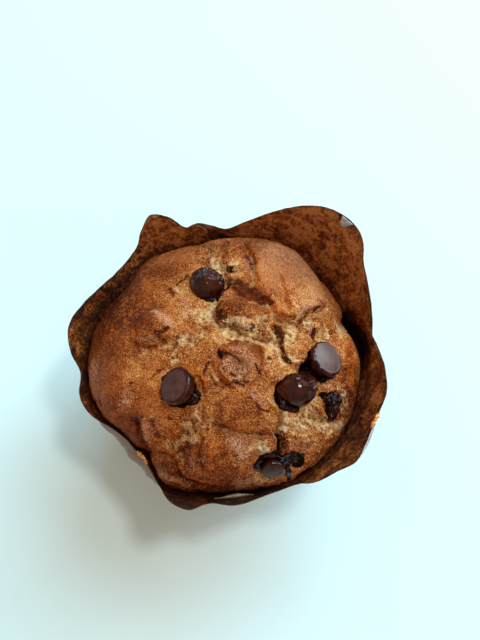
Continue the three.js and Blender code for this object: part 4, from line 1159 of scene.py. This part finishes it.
# ---- Muffin ----
def make_crust():
    azimuth, ring = disc_places(CRUST_RINGS)
    fraction = 0.65 * ring + 0.35 * np.sin(ring * np.pi / 2)
    points, fields = crust_surface(azimuth, fraction, with_pores=True)
    columns = 6 * CRUST_RINGS
    edge = np.arange(columns) * TURN / columns
    foot = SHEET + FOOT_GAP
    heights = np.linspace(SHOULDER_HEIGHT, foot, CRUST_SIDE_ROWS + 1)[1:]
    insets = CLEARANCE + PLEAT_ROOM * smoothstep(1.0, 0.5, heights / SHOULDER_HEIGHT)
    rows = [polar(edge, inner_wall_radius(edge, height) - inset, height)
            for height, inset in zip(heights, insets)]
    side_points = np.concatenate(rows)
    last_ring = len(points) - columns
    everything = np.concatenate([points, side_points, [[0, 0, foot]]])
    side = grid_faces(CRUST_SIDE_ROWS + 1, columns, start=last_ring)[:, ::-1]
    middle = len(everything) - 1
    bottom = fan_faces(middle, np.arange(middle - columns, middle), False)
    extra = len(everything) - len(points)
    spread = {name: np.concatenate([values, np.full(extra, PLAIN_TOAST if name == "toast" else 0.0)])
              for name, values in fields.items()}
    return make_piece("crust", everything, [disc_faces(CRUST_RINGS), side, bottom], [CRUST], spread)


# ---- Paper case ----
SHEET_COLUMNS = 800
WALL_ROWS = 34
PETAL_ROWS = 20
BASE_ROWS = 4
PLACES_TRIED = 6000  # how finely the sheet is searched for an azimuth
# The sheet's soft waves, crinkles and sharp creases: size and height of each.
SWAY = dict(size=13.0, height=0.5)
CRINKLES = dict(size=3.2, height=0.14)
CREASES = dict(size=4.2, height=0.22)


def edge_stations():
    """The edge's stations with their places along the sheet, and the sheet's whole length."""
    stations = np.array(CASE_EDGE, float)
    following = np.roll(stations, -1, axis=0)
    following[-1, :2] += TURN
    step = np.radians(following[:, 1] - stations[:, 1]) * stations[:, 2]
    lengths = np.hypot(step, following[:, 3] - stations[:, 3]) + 0.3
    knots = np.concatenate([[0], np.cumsum(lengths)[:-1]])
    return stations, knots, lengths.sum()


def edge_reader():
    """Reads foot azimuth, edge azimuth, radius, height and stand-off at places along the sheet."""
    stations, knots, length = edge_stations()
    azimuths_only = np.array([1, 1, 0, 0, 0])
    drift = (TURN * knots / length)[:, None] * azimuths_only
    read = closed_curve(knots, stations - drift, length)

    def read_turned(places):
        return read(places) + (TURN * places / length)[..., None] * azimuths_only

    return read_turned, length


read_edge, SHEET_LENGTH = edge_reader()


def pleat_part(azimuth):
    """The place within a pleat, from 0 to 1. The pleats are unevenly spaced."""
    uneven = azimuth + 1.8 * np.sin(np.radians(azimuth * 5)) + 1.1 * np.sin(np.radians(azimuth * 11 + 40))
    return np.mod(uneven * PLEATS / TURN, 1)


def pleat_wave(azimuth):
    """Knife pleats: a slow rise and a quick fall, from -1 to 1."""
    part = pleat_part(azimuth)
    return np.where(part < 1 - PLEAT_FALL, part / (1 - PLEAT_FALL), (1 - part) / PLEAT_FALL) * 2 - 1


def sheet_points(places, up):
    """Points of the paper's inner face: places along the sheet, up from 0 at the foot to 1 at the
    shoulder and 2 at the free edge."""
    foot_azimuth, edge_azimuth, edge_radius, edge_height, stand_off = np.moveaxis(read_edge(places), -1, 0)
    wall = np.clip(up, 0, 1)
    petal = np.clip(up - 1, 0, 1)
    height = SHEET + (SHOULDER_HEIGHT - SHEET) * wall
    lean = CREASE["lean"] * hill(turned_from(foot_azimuth, CREASE["foot_azimuth"]) / CREASE["reach"])
    azimuth = foot_azimuth + (edge_azimuth + lean - foot_azimuth) * smoothstep(0.25, 1.0, wall) - lean * petal
    radius = inner_wall_radius(azimuth, height) + stand_off * smoothstep(0.45, 1.0, wall)
    pleat = pleat_wave(foot_azimuth) * PLEAT_DEPTH
    radius = radius + pleat * smoothstep(1.05, 0.35, wall) * smoothstep(0, 0.06, wall)
    shoulder = radius
    radius = shoulder + (edge_radius - shoulder) * petal ** 0.95
    height = height + (edge_height - SHOULDER_HEIGHT) * petal
    points = polar(azimuth, radius, height)
    outward = polar(azimuth, np.ones(azimuth.shape), 0.0)
    free = smoothstep(0.0, 0.5, petal)
    below = 1 - smoothstep(0.75, 1.0, wall)
    sway = SWAY["height"] * layered(points, SWAY["size"], SEEDS["sway"], 2) * (0.8 * free + 0.3 * below)
    calm = 1 - 0.7 * smoothstep(0.6, 1.0, petal)
    crinkle = layered(points * np.array([1, 1, 0.6]), CRINKLES["size"], SEEDS["crinkle"], 2)
    crinkle = CRINKLES["height"] * crinkle * (free + below + 0.15) * calm
    ridge = 1 - np.abs(noise(points * np.array([1, 1, 0.35]), CREASES["size"], SEEDS["crease"]))
    crease = CREASES["height"] * ridge ** 6 * (free + below) * calm
    return points + outward * (sway + crinkle + crease)[..., None]


def make_case():
    places = np.arange(SHEET_COLUMNS) * SHEET_LENGTH / SHEET_COLUMNS
    ups = np.concatenate([np.linspace(0, 1, WALL_ROWS + 1), 1 + np.linspace(0, 1, PETAL_ROWS + 1)[1:]])
    grid = sheet_points(places[None, :], ups[:, None] + 0 * places[None, :])
    ragged = 0.1 * layered(np.stack([places, 0 * places, 0 * places], axis=-1), 2.0, SEEDS["edge"], 3)
    grid[-1, :, 2] += ragged
    middle = np.array([0.0, 0.0, SHEET])
    shrink = np.linspace(0, 1, BASE_ROWS + 1)[1:, None, None]
    base = middle + (grid[0] - middle) * shrink
    inside = np.concatenate([base[:-1], grid])
    outward = grid_normals(inside)
    outward[:BASE_ROWS - 1] = (0, 0, -1)
    outside = inside + outward * SHEET
    outside[:BASE_ROWS, :, 2] = 0
    rows = len(inside)
    points = np.concatenate([
        inside.reshape(-1, 3), outside.reshape(-1, 3), [middle], [[0.0, 0.0, 0.0]],
    ])
    half = rows * SHEET_COLUMNS
    inner_faces = grid_faces(rows, SHEET_COLUMNS)[:, ::-1]
    outer_faces = grid_faces(rows, SHEET_COLUMNS, start=half)
    last = np.arange((rows - 1) * SHEET_COLUMNS, rows * SHEET_COLUMNS)
    lip = rim_wall(last, half)[:, ::-1]
    first = np.arange(SHEET_COLUMNS)
    top_of_base = fan_faces(2 * half, first, True)
    under_base = fan_faces(2 * half + 1, first + half, False)
    face_sets = [(inner_faces, 0), (top_of_base, 0), (outer_faces, 1), (under_base, 1), (lip, 2)]
    fields = {}
    # The soaked and folded fields are painted shade.
    for name, field in (("torn", torn_field), ("soaked", paper_shade_field), ("folded", pleat_shade_field)):
        half_field = np.concatenate([np.zeros((BASE_ROWS - 1, SHEET_COLUMNS)), field(places, ups)]).ravel()
        fields[name] = np.concatenate([half_field, half_field, [0.0, 0.0]])
    return make_piece("case_sheet", points, face_sets, [PAPER_INSIDE, PAPER_OUTSIDE, PAPER_EDGE], fields)


def torn_field(places, ups):
    """Where the paper's pale inside shows, on a grid of the sheet."""
    edge = read_edge(places)
    below = (2 - ups[:, None]) * (edge[:, 3] - SHOULDER_HEIGHT)
    torn = np.zeros(below.shape)
    spots = np.stack([places, 0 * places, 0 * places], axis=-1)
    ragged = 1 + 0.5 * noise(spots, 0.8, SEEDS["tears"])
    for azimuth, half_width, depth in TEARS:
        across = (np.mod(edge[:, 1], TURN) - azimuth) / half_width
        torn = np.maximum(torn, hill(across) * smoothstep(1.0, 0.5, below / (depth * ragged)))
    return np.clip(1.3 * torn, 0, 1)


def pleat_shade_field(places, ups):
    """Painted shade along the lines where the pleats were pressed, fading out up the wall."""
    off = pleat_part(read_edge(places)[:, 0]) - (1 - PLEAT_FALL / 2)
    return hill(off / 0.06) * smoothstep(1.05, 0.3, ups[:, None])


def paper_shade_field(places, ups):
    """Painted shade: most beside the crust, in the first fold, in some petals all the way up."""
    edge = read_edge(places)
    azimuth = np.mod(edge[:, 1], TURN)
    soaked = np.zeros((len(ups), len(places)))
    for centre, half_width, amount in PETAL_SHADE:
        soaked = soaked + amount * hill(turned_from(azimuth, centre) / half_width)
    # Painted shade beside the crust, where the paper rises from it.
    beside = 0.35 * smoothstep(6.0, 0.0, (ups[:, None] - 1) * (edge[:, 3] - SHOULDER_HEIGHT + 2))
    # Painted shade in the first fold.
    off = turned_from(azimuth, FOLD_SHADE["azimuth"])
    low = smoothstep(FOLD_SHADE["up"] + 0.3, FOLD_SHADE["up"], ups[:, None])
    dark = hill((off / FOLD_SHADE["half_width"]) ** 2) * low
    return np.clip(soaked + beside + dark, -0.2, 1.3)


def place_at(azimuth):
    """The place along the sheet whose free edge is at an azimuth."""
    places = np.linspace(0, SHEET_LENGTH, PLACES_TRIED, endpoint=False)
    return places[np.argmin(np.abs(np.mod(read_edge(places)[:, 1], TURN) - azimuth))]


def thin_patch(grid, thickness):
    """Points and faces of a closed thin patch over a grid of points (rows, columns, 3)."""
    rows, columns = grid.shape[:2]
    lower = grid - grid_normals(grid, closed=False) * thickness
    count = rows * columns
    index = np.arange(count).reshape(rows, columns)
    rim = np.concatenate([index[0], index[1:, -1], index[-1, -2::-1], index[-2:0:-1, 0]])
    over = grid_faces(rows, columns, closed=False)
    faces = [over, over[:, ::-1] + count, rim_wall(rim, count)]
    return np.concatenate([grid.reshape(-1, 3), lower.reshape(-1, 3)]), faces


def dog_ear_grid():
    """A corner of the tallest petal, folded in over its inner face."""
    start, end = [place_at(azimuth) for azimuth in DOG_EAR["azimuths"]]
    tip = place_at(DOG_EAR["tip_azimuth"])
    down = np.linspace(0, 1, 9)[:, None]
    across = np.linspace(0, 1, 9)[None, :]
    narrowing = 1 - DOG_EAR["narrowing"] * down
    places = tip * (1 - narrowing) + (start + (end - start) * across) * narrowing
    ups = 2 - DOG_EAR["reach"] * down + 0 * across
    grid = sheet_points(places, ups)
    inward = -grid / np.linalg.norm(grid[..., :2], axis=-1, keepdims=True) * np.array([1, 1, 0])
    return grid + inward * (DOG_EAR["lift"] + DOG_EAR["bulge"] * np.sin(np.pi * 0.8 * down))[..., None]


def tuck_grid():
    """A strip at the front that was folded in, between the crust and the paper."""
    along = np.linspace(0, 1, 40)[None, :]
    start, end = [place_at(azimuth) for azimuth in TUCK["azimuths"]]
    places = start + (end - start) * along
    outer = sheet_points(places, TUCK["up"] + 0 * places)
    azimuth = np.degrees(np.arctan2(outer[..., 1], outer[..., 0]))
    inner = polar(azimuth, crust_radius(azimuth) + TUCK["gap"], TUCK["height"])
    width = TUCK["width"] * np.sin(np.pi * along ** 1.3) ** 0.8
    inner = outer + (inner - outer) * width[..., None]
    part = np.linspace(0, 1, 6)[:, None, None]
    bulge = TUCK["bulge"] * np.sin(np.pi * part) * np.array([0, 0, 1.0])
    return outer + (inner - outer) * part + bulge


def lip_grid():
    """The free edge at the right, turned down over the outside."""
    along = np.linspace(0, 1, 36)[None, :]
    start, end = [place_at(azimuth) for azimuth in LIP["azimuths"]]
    places = start + (end - start) * along
    rim = sheet_points(places, 2 + 0 * places)
    azimuth = np.degrees(np.arctan2(rim[..., 1], rim[..., 0]))
    outward = polar(azimuth, np.ones(azimuth.shape), 0.0)
    width = LIP["width"] * np.sin(np.pi * along)
    part = np.linspace(0, 1, 5)[:, None, None]
    drop = np.array([0, 0, 1.0]) * LIP["drop"] * part ** 2 * np.sin(np.pi * along)[..., None]
    return (rim + outward * (LIP["lift"] + width[..., None] * part) - drop)[:, ::-1]


def make_flaps():
    """The turned and folded bits of the sheet that show its outside. The tucked strip alone is beige."""
    patches = [thin_patch(grid, FLAP_THICKNESS) for grid in (dog_ear_grid(), tuck_grid(), lip_grid())]
    points, faces = joined(patches)
    tucked = np.concatenate([np.full(len(patch[0]), beige) for patch, beige in zip(patches, (0, 1, 0))])
    return make_piece("case_flaps", points, faces, [PAPER_TURNED], {"tucked": tucked})


# ---- Chips ----
CHIP_SIDES = 96
CHIP_PROFILE_ROWS = 64
BROKEN_CHIP_ROWS = (48, 120)  # rows of points, and points in each row
EDGE_CRUMB_ROWS = (14, 20)
EDGE_CRUMB_ROUGHNESS = 0.35
CHIP_PROFILE = [
    (0.0, 0.04), (0.35, 0.03), (0.7, 0.0), (0.88, -0.02), (0.955, -0.05), (1.0, -0.12), (0.985, -0.26),
    (0.93, -0.42), (0.83, -0.58), (0.68, -0.74), (0.48, -0.88), (0.26, -0.97), (0.0, -1.0),
]


def chip_grid():
    """Rows of points of a chip of radius and height 1, with its flat foot up at z 0 and its tip at -1."""
    profile = np.array(CHIP_PROFILE)
    lengths = np.concatenate([[0], np.cumsum(np.hypot(*np.diff(profile, axis=0).T))])
    places = np.linspace(0, lengths[-1], CHIP_PROFILE_ROWS)
    radius = np.interp(places, lengths, profile[:, 0])
    depth = np.interp(places, lengths, profile[:, 1])
    for line in (radius, depth):
        line[1:-1] = 0.25 * line[:-2] + 0.5 * line[1:-1] + 0.25 * line[2:]
    azimuth = np.arange(CHIP_SIDES) * TURN / CHIP_SIDES
    return polar(azimuth[None, :], radius[1:-1, None], depth[1:-1, None])


def closed_grid_faces(rows, columns):
    """Faces of a grid of rings that is closed by a pole before its first row and after its last."""
    body = grid_faces(rows, columns)[:, ::-1]
    first = np.arange(columns)
    last = first + (rows - 1) * columns
    total = rows * columns
    return [body, fan_faces(total, first, True), fan_faces(total + 1, last, False)]


def at_node(points, node):
    """Points shifted so that their box has the same centre as the CAD node's box."""
    low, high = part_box(node)
    centre = np.array([(a + b) / 2 / MM for a, b in zip(low, high)])
    return points + centre - (points.min(axis=0) + points.max(axis=0)) / 2


def make_chip(name, facing, size, wrinkle, wrinkled_side, slide=0.0, flats=(), shift=(0, 0, 0), bloom=1.0):
    """A chip: a drop whose foot faces one way, with pressed flats and a skin wrinkled on one side."""
    seed = SEEDS["chips"] + 10 * list(CHIPS).index(name)
    grid = chip_grid()
    foot = smoothstep(0.9, 0.8, np.hypot(grid[..., 0], grid[..., 1])) * (grid[..., 2] > -0.3)
    points = grid * np.array([CHIP_RADIUS, CHIP_RADIUS, CHIP_HEIGHT]) * size
    outward = points / np.maximum(np.linalg.norm(points, axis=-1, keepdims=True), 1e-6)
    lump = 0.22 * layered(points, 4.5, seed, 2)
    points = points + outward * (lump * (1 - foot))[..., None]
    matrix = np.array(Vector((0, 0, 1)).rotation_difference(Vector(facing)).to_matrix())
    points = points @ matrix.T
    points = points - (points.min(axis=(0, 1)) + points.max(axis=(0, 1))) / 2
    side = np.array(wrinkled_side) / math.hypot(*wrinkled_side)
    reach = points[..., :2] @ side / CHIP_RADIUS
    wrinkled = smoothstep(-0.3, 0.3, reach) * (1 - foot)
    folds = (1 - np.abs(noise(points, 1.5, seed + 4))) ** 3 + 0.5 * noise(points, 0.9, seed + 5)
    raised = np.clip(points[..., 2:] / CHIP_HEIGHT + 0.4, 0, 1)
    points = points + np.array([slide, 0, 0]) * raised * (1 - foot[..., None])
    for flat_facing, distance in flats:
        normal = np.array(flat_facing) / np.linalg.norm(flat_facing)
        over = np.maximum(points @ normal - distance, 0)
        points = points - 0.95 * over[..., None] * normal
        foot = np.maximum(foot, 0.15 * smoothstep(0.1, 0.5, over))
    points = points + (outward @ matrix.T) * (wrinkle * wrinkled * (folds - 0.5))[..., None]
    poles = np.stack([points[0].mean(axis=0), points[-1].mean(axis=0)])
    placed = at_node(np.concatenate([points.reshape(-1, 3), poles]), name) + np.array(shift)
    fields = {"foot": bloom * np.concatenate([foot.ravel(), [1.0, 0.0]])}
    rows = CHIP_PROFILE_ROWS - 2
    return make_piece(name + "_chocolate", placed, closed_grid_faces(rows, CHIP_SIDES), [CHOCOLATE], fields)


def ball_grid(radii, rows, columns):
    """Rows of points of an ellipsoid about the origin, without its poles."""
    down = np.radians(np.linspace(0, 180, rows + 2)[1:-1])[:, None]
    azimuth = np.arange(columns) * TURN / columns
    return polar(azimuth[None, :], np.sin(down), np.cos(down)) * np.array(radii)


def closed_lump(grid):
    """Points of a grid of rings with a pole at each end, and its faces."""
    poles = np.stack([grid[0].mean(axis=0), grid[-1].mean(axis=0)])
    return np.concatenate([grid.reshape(-1, 3), poles]), closed_grid_faces(*grid.shape[:2])


def make_broken_chip():
    """The ragged chip: its outline from above, rounded over, with a chunky face."""
    grid = ball_grid((1, 1, BROKEN_CHIP["height"]), *BROKEN_CHIP_ROWS)
    azimuth = np.degrees(np.arctan2(grid[..., 1], grid[..., 0]))
    outline = closed_curve(*zip(*BROKEN_OUTLINE), TURN)
    grid = grid * np.array([1, 1, 0]) * outline(azimuth) + grid * np.array([0, 0, 1])
    chunks = layered(grid, 1.8, SEEDS["broken"], 3, 0.7) + np.abs(noise(grid, 1.1, SEEDS["broken_face"]))
    grid = grid * (1 + BROKEN_CHIP["roughness"] * chunks)[..., None]
    points, faces = closed_lump(grid)
    placed = at_node(points, BROKEN_CHIP["name"])
    return make_piece("chip_broken_chocolate", placed, faces, [MELTED])


def make_edge_crumbs():
    crumbs = []
    for number, (azimuth, radius, height, size) in enumerate(EDGE_CRUMBS):
        seed = SEEDS["edge_crumbs"] + number
        grid = ball_grid((size / 2,) * 3, *EDGE_CRUMB_ROWS)
        chunks = layered(grid, 0.9, seed, 3, 0.6) + 0.6 * np.abs(noise(grid, 0.9 / 2.4, seed + 5))
        points, faces = closed_lump(grid * (1 + EDGE_CRUMB_ROUGHNESS * chunks)[..., None])
        crumbs.append((points + polar(azimuth, radius, height), faces))
    points, faces = joined(crumbs)
    baked = np.full(len(points), PLAIN_TOAST)
    return make_piece("edge_crumbs", points, faces, [CRUMB], {"toast": baked})


# ---- Melted chocolate ----
MELT_RINGS = 16
MELT_ROOT = 0.7  # how far a pool reaches down into the crust


def make_melts():
    azimuth, ring = disc_places(MELT_RINGS)
    faces = disc_faces(MELT_RINGS)
    count = len(ring)
    wall = rim_wall(np.arange(count - 6 * MELT_RINGS, count), count)
    circle = polar(azimuth, np.ones(azimuth.shape), 0.0)
    pools = []
    for number, (cx, cy, rx, ry, turn, height) in enumerate(MELTS):
        angle = math.radians(turn)
        uneven = 1 + 0.28 * layered(circle, 0.9, SEEDS["pools"] + number, 2)
        u = circle[:, 0] * ring * rx * uneven
        v = circle[:, 1] * ring * ry * uneven
        x = cx + u * math.cos(angle) - v * math.sin(angle)
        y = cy + u * math.sin(angle) + v * math.cos(angle)
        under = crust_over(x, y)
        top = under.copy()
        lumps = 1 + 0.35 * noise(under, 1.4, SEEDS["pool_lumps"] + number)
        top[:, 2] += height * (1 - ring ** 2.4) ** 0.55 * lumps + 0.06 - 0.3 * ring ** 6
        under[:, 2] -= MELT_ROOT
        pools.append((np.concatenate([top, under]), [faces, (faces + count)[:, ::-1], wall]))
    points, face_sets = joined(pools)
    return make_piece("melted_chocolate", points, face_sets, [MELTED])


# ---- Loose crumbs, scattered where the crumb lies open ----
CRUMB_DENSITY = 2.0e6  # crumbs on each square metre of open crumb
COARSE_SHARE = 0.12  # how many of these lie on coarse crust
CRUMB_SIZES = (0.2, 0.5)
CRUMB_DENT = 0.3  # how far a crumb's corners are pushed about, and how fine that is
CRUMB_DENT_SCALE = 3200.0
CRUMB_TURN = 6.28  # a crumb is turned by up to this angle about each axis


def crumb_tree():
    """Scatters small rough crumbs over a surface, more where its crumb and coarse fields are high."""
    group = bpy.data.node_groups.new("scattered_crumbs", "GeometryNodeTree")
    sockets = [("Surface", "Geometry"), ("Density", "Float"), ("Smallest", "Float"), ("Largest", "Float"),
               ("Seed", "Int")]
    for name, kind in sockets:
        group.interface.new_socket(name=name, in_out="INPUT", socket_type="NodeSocket" + kind)
    group.interface.new_socket(name="Crumbs", in_out="OUTPUT", socket_type="NodeSocketGeometry")
    tree = NodeTree(group)
    given = group.nodes.new("NodeGroupInput")
    surface, density, smallest, largest, seed = [Wire(tree, socket) for socket in given.outputs[:5]]
    crumb, coarse = [
        tree.node("GeometryNodeInputNamedAttribute", {"data_type": "FLOAT"}, {"Name": name}, "Attribute")
        for name in ("crumb", "coarse")
    ]
    points = tree.node(
        "GeometryNodeDistributePointsOnFaces", {"distribute_method": "RANDOM"},
        {"Mesh": surface, "Density": density * (crumb + coarse * COARSE_SHARE), "Seed": seed}, "Points",
    )
    ball = tree.node("GeometryNodeMeshIcoSphere", inputs={"Radius": 0.5, "Subdivisions": 1}, output="Mesh")
    size = tree.node("FunctionNodeRandomValue", {"data_type": "FLOAT"},
                     {"Min": smallest, "Max": largest, "Seed": seed}, "Value")
    turn = tree.node("FunctionNodeRandomValue", {"data_type": "FLOAT_VECTOR"},
                     {"Max": (CRUMB_TURN,) * 3, "Seed": seed + 1.0}, "Value")
    placing = {"Points": points, "Instance": ball, "Rotation": turn, "Scale": size}
    scattered = tree.node("GeometryNodeInstanceOnPoints", inputs=placing, output="Instances")
    real = tree.node("GeometryNodeRealizeInstances", inputs={"Geometry": scattered}, output="Geometry")
    lumps = tree.node("ShaderNodeTexNoise", inputs={"Scale": CRUMB_DENT_SCALE, "Detail": 1.0}, output="Color")
    away = tree.node("ShaderNodeVectorMath", {"operation": "SUBTRACT"}, {0: lumps, 1: (0.5,) * 3}, "Vector")
    denting = {0: away, "Scale": CRUMB_DENT * MM}
    dent = tree.node("ShaderNodeVectorMath", {"operation": "SCALE"}, denting, "Vector")
    rough = tree.node("GeometryNodeSetPosition", inputs={"Geometry": real, "Offset": dent}, output="Geometry")
    painting = {"Geometry": rough, "Material": CRUMB}
    painted = tree.node("GeometryNodeSetMaterial", inputs=painting, output="Geometry")
    tree.node("NodeGroupOutput", inputs={0: painted})
    return group


def run_tree(piece, group, values):
    """Turns a piece into the plain mesh that a geometry tree makes of it."""
    modifier = piece.modifiers.new(group.name, "NODES")
    modifier.node_group = group
    for item in group.interface.items_tree:
        if item.in_out == "INPUT" and item.name in values:
            modifier[item.identifier] = values[item.name]
    graph = bpy.context.evaluated_depsgraph_get()
    evaluated = piece.evaluated_get(graph)
    made = bpy.data.meshes.new_from_object(evaluated, preserve_all_data_layers=True, depsgraph=graph)
    piece.modifiers.remove(modifier)
    old = piece.data
    piece.data = made
    bpy.data.meshes.remove(old)
    return piece


def make_crumbs(crust):
    smallest, largest = CRUMB_SIZES
    values = {"Density": CRUMB_DENSITY, "Smallest": smallest * MM, "Largest": largest * MM,
              "Seed": SEEDS["loose_crumbs"]}
    return run_tree(add_object("loose_crumbs", crust.data.copy()), crumb_tree(), values)


# ---- Stage ----
FLOOR_SIZE = 6000.0
CAMERA_PLACE = (4.65, -64.45, 393.19)
CAMERA_TILT = 13.0
CAMERA_FOCAL = 64.69
SENSOR_HEIGHT = 36.0
ROOM_COLOUR = (1.0, 0.73, 0.55, 1.0)
ROOM_WALL = (0.98, 0.84, 0.74, 1.0)
ROOM_LOW = 0.3  # the room's light at the horizon, and how much it gains overhead
ROOM_RISE = 0.34
# Soft square lights: azimuth, elevation, distance and size in metres, power in watts, colour.
PANELS = {
    "window": (60, 50, 1.2, 0.7, 10.9, (0.50, 0.87, 1.0)),
    "lamp": (20, 76, 1.4, 0.13, 4.5, (1.0, 0.95, 0.88)),
    "side_window": (34, 18, 1.3, 0.5, 8.0, (0.8, 0.94, 1.0)),
}


def make_floor():
    half = FLOOR_SIZE / 2
    points = np.array([(-half, -half, 0), (half, -half, 0), (half, half, 0), (-half, half, 0)], float)
    floor = make_piece("floor", points, [np.array([[0, 1, 2, 3]])], [TABLE])


def make_camera():
    data = bpy.data.cameras.new("camera")
    data.sensor_fit = "VERTICAL"
    data.sensor_height = SENSOR_HEIGHT
    data.lens = CAMERA_FOCAL
    data.clip_start = 0.01
    camera = add_object("camera", data)
    camera.location = [value * MM for value in CAMERA_PLACE]
    camera.rotation_euler = (math.radians(CAMERA_TILT), 0, 0)
    bpy.context.scene.camera = camera


def make_panel(name, azimuth, elevation, distance, size, power, colour):
    """A soft light, turned towards the muffin's foot."""
    data = bpy.data.lights.new(name, "AREA")
    data.shape = "SQUARE"
    data.size = size
    data.energy = power
    data.color = colour
    panel = add_object(name, data)
    angle = math.radians(azimuth)
    rise = math.radians(elevation)
    flat = distance * math.cos(rise)
    place = Vector((flat * math.cos(angle), flat * math.sin(angle), distance * math.sin(rise)))
    panel.location = place
    panel.rotation_euler = (-place).to_track_quat("-Z", "Y").to_euler()


def make_world():
    """A warm room: bright overhead and dim towards the horizon."""
    world = bpy.data.worlds.new("studio")
    world.use_nodes = True
    world.node_tree.nodes.clear()
    tree = NodeTree(world.node_tree)
    direction = tree.node("ShaderNodeTexCoord", output="Generated")
    up = tree.node("ShaderNodeSeparateXYZ", inputs={"Vector": direction}, output="Z")
    strength = tree.between(up, -0.1, 0.8) * ROOM_RISE + ROOM_LOW
    colour = tree.blend(tree.between(up, 0.05, 0.4), ROOM_WALL, ROOM_COLOUR)
    shining = {"Color": colour, "Strength": strength}
    light = tree.node("ShaderNodeBackground", inputs=shining, output="Background")
    tree.node("ShaderNodeOutputWorld", inputs={"Surface": light})
    bpy.context.scene.world = world


def set_stage():
    bpy.context.scene.view_settings.view_transform = "Standard"
    make_floor()
    make_camera()
    make_world()
    for name, panel in PANELS.items():
        make_panel(name, *panel)


# ---- Assembly ----
def finish_piece(piece, nodes=()):
    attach(piece, BODY)
    if nodes:
        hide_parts(*nodes)


set_stage()
crust = make_crust()
crumbs = make_crumbs(crust)
finish_piece(crust, ["muffin"])
finish_piece(crumbs)
finish_piece(make_edge_crumbs())
finish_piece(make_case(), ["paper_case"])
finish_piece(make_flaps())
for chip_name, chip_shape in CHIPS.items():
    finish_piece(make_chip(chip_name, **chip_shape), [chip_name])
finish_piece(make_broken_chip(), [BROKEN_CHIP["name"]])
finish_piece(make_melts())
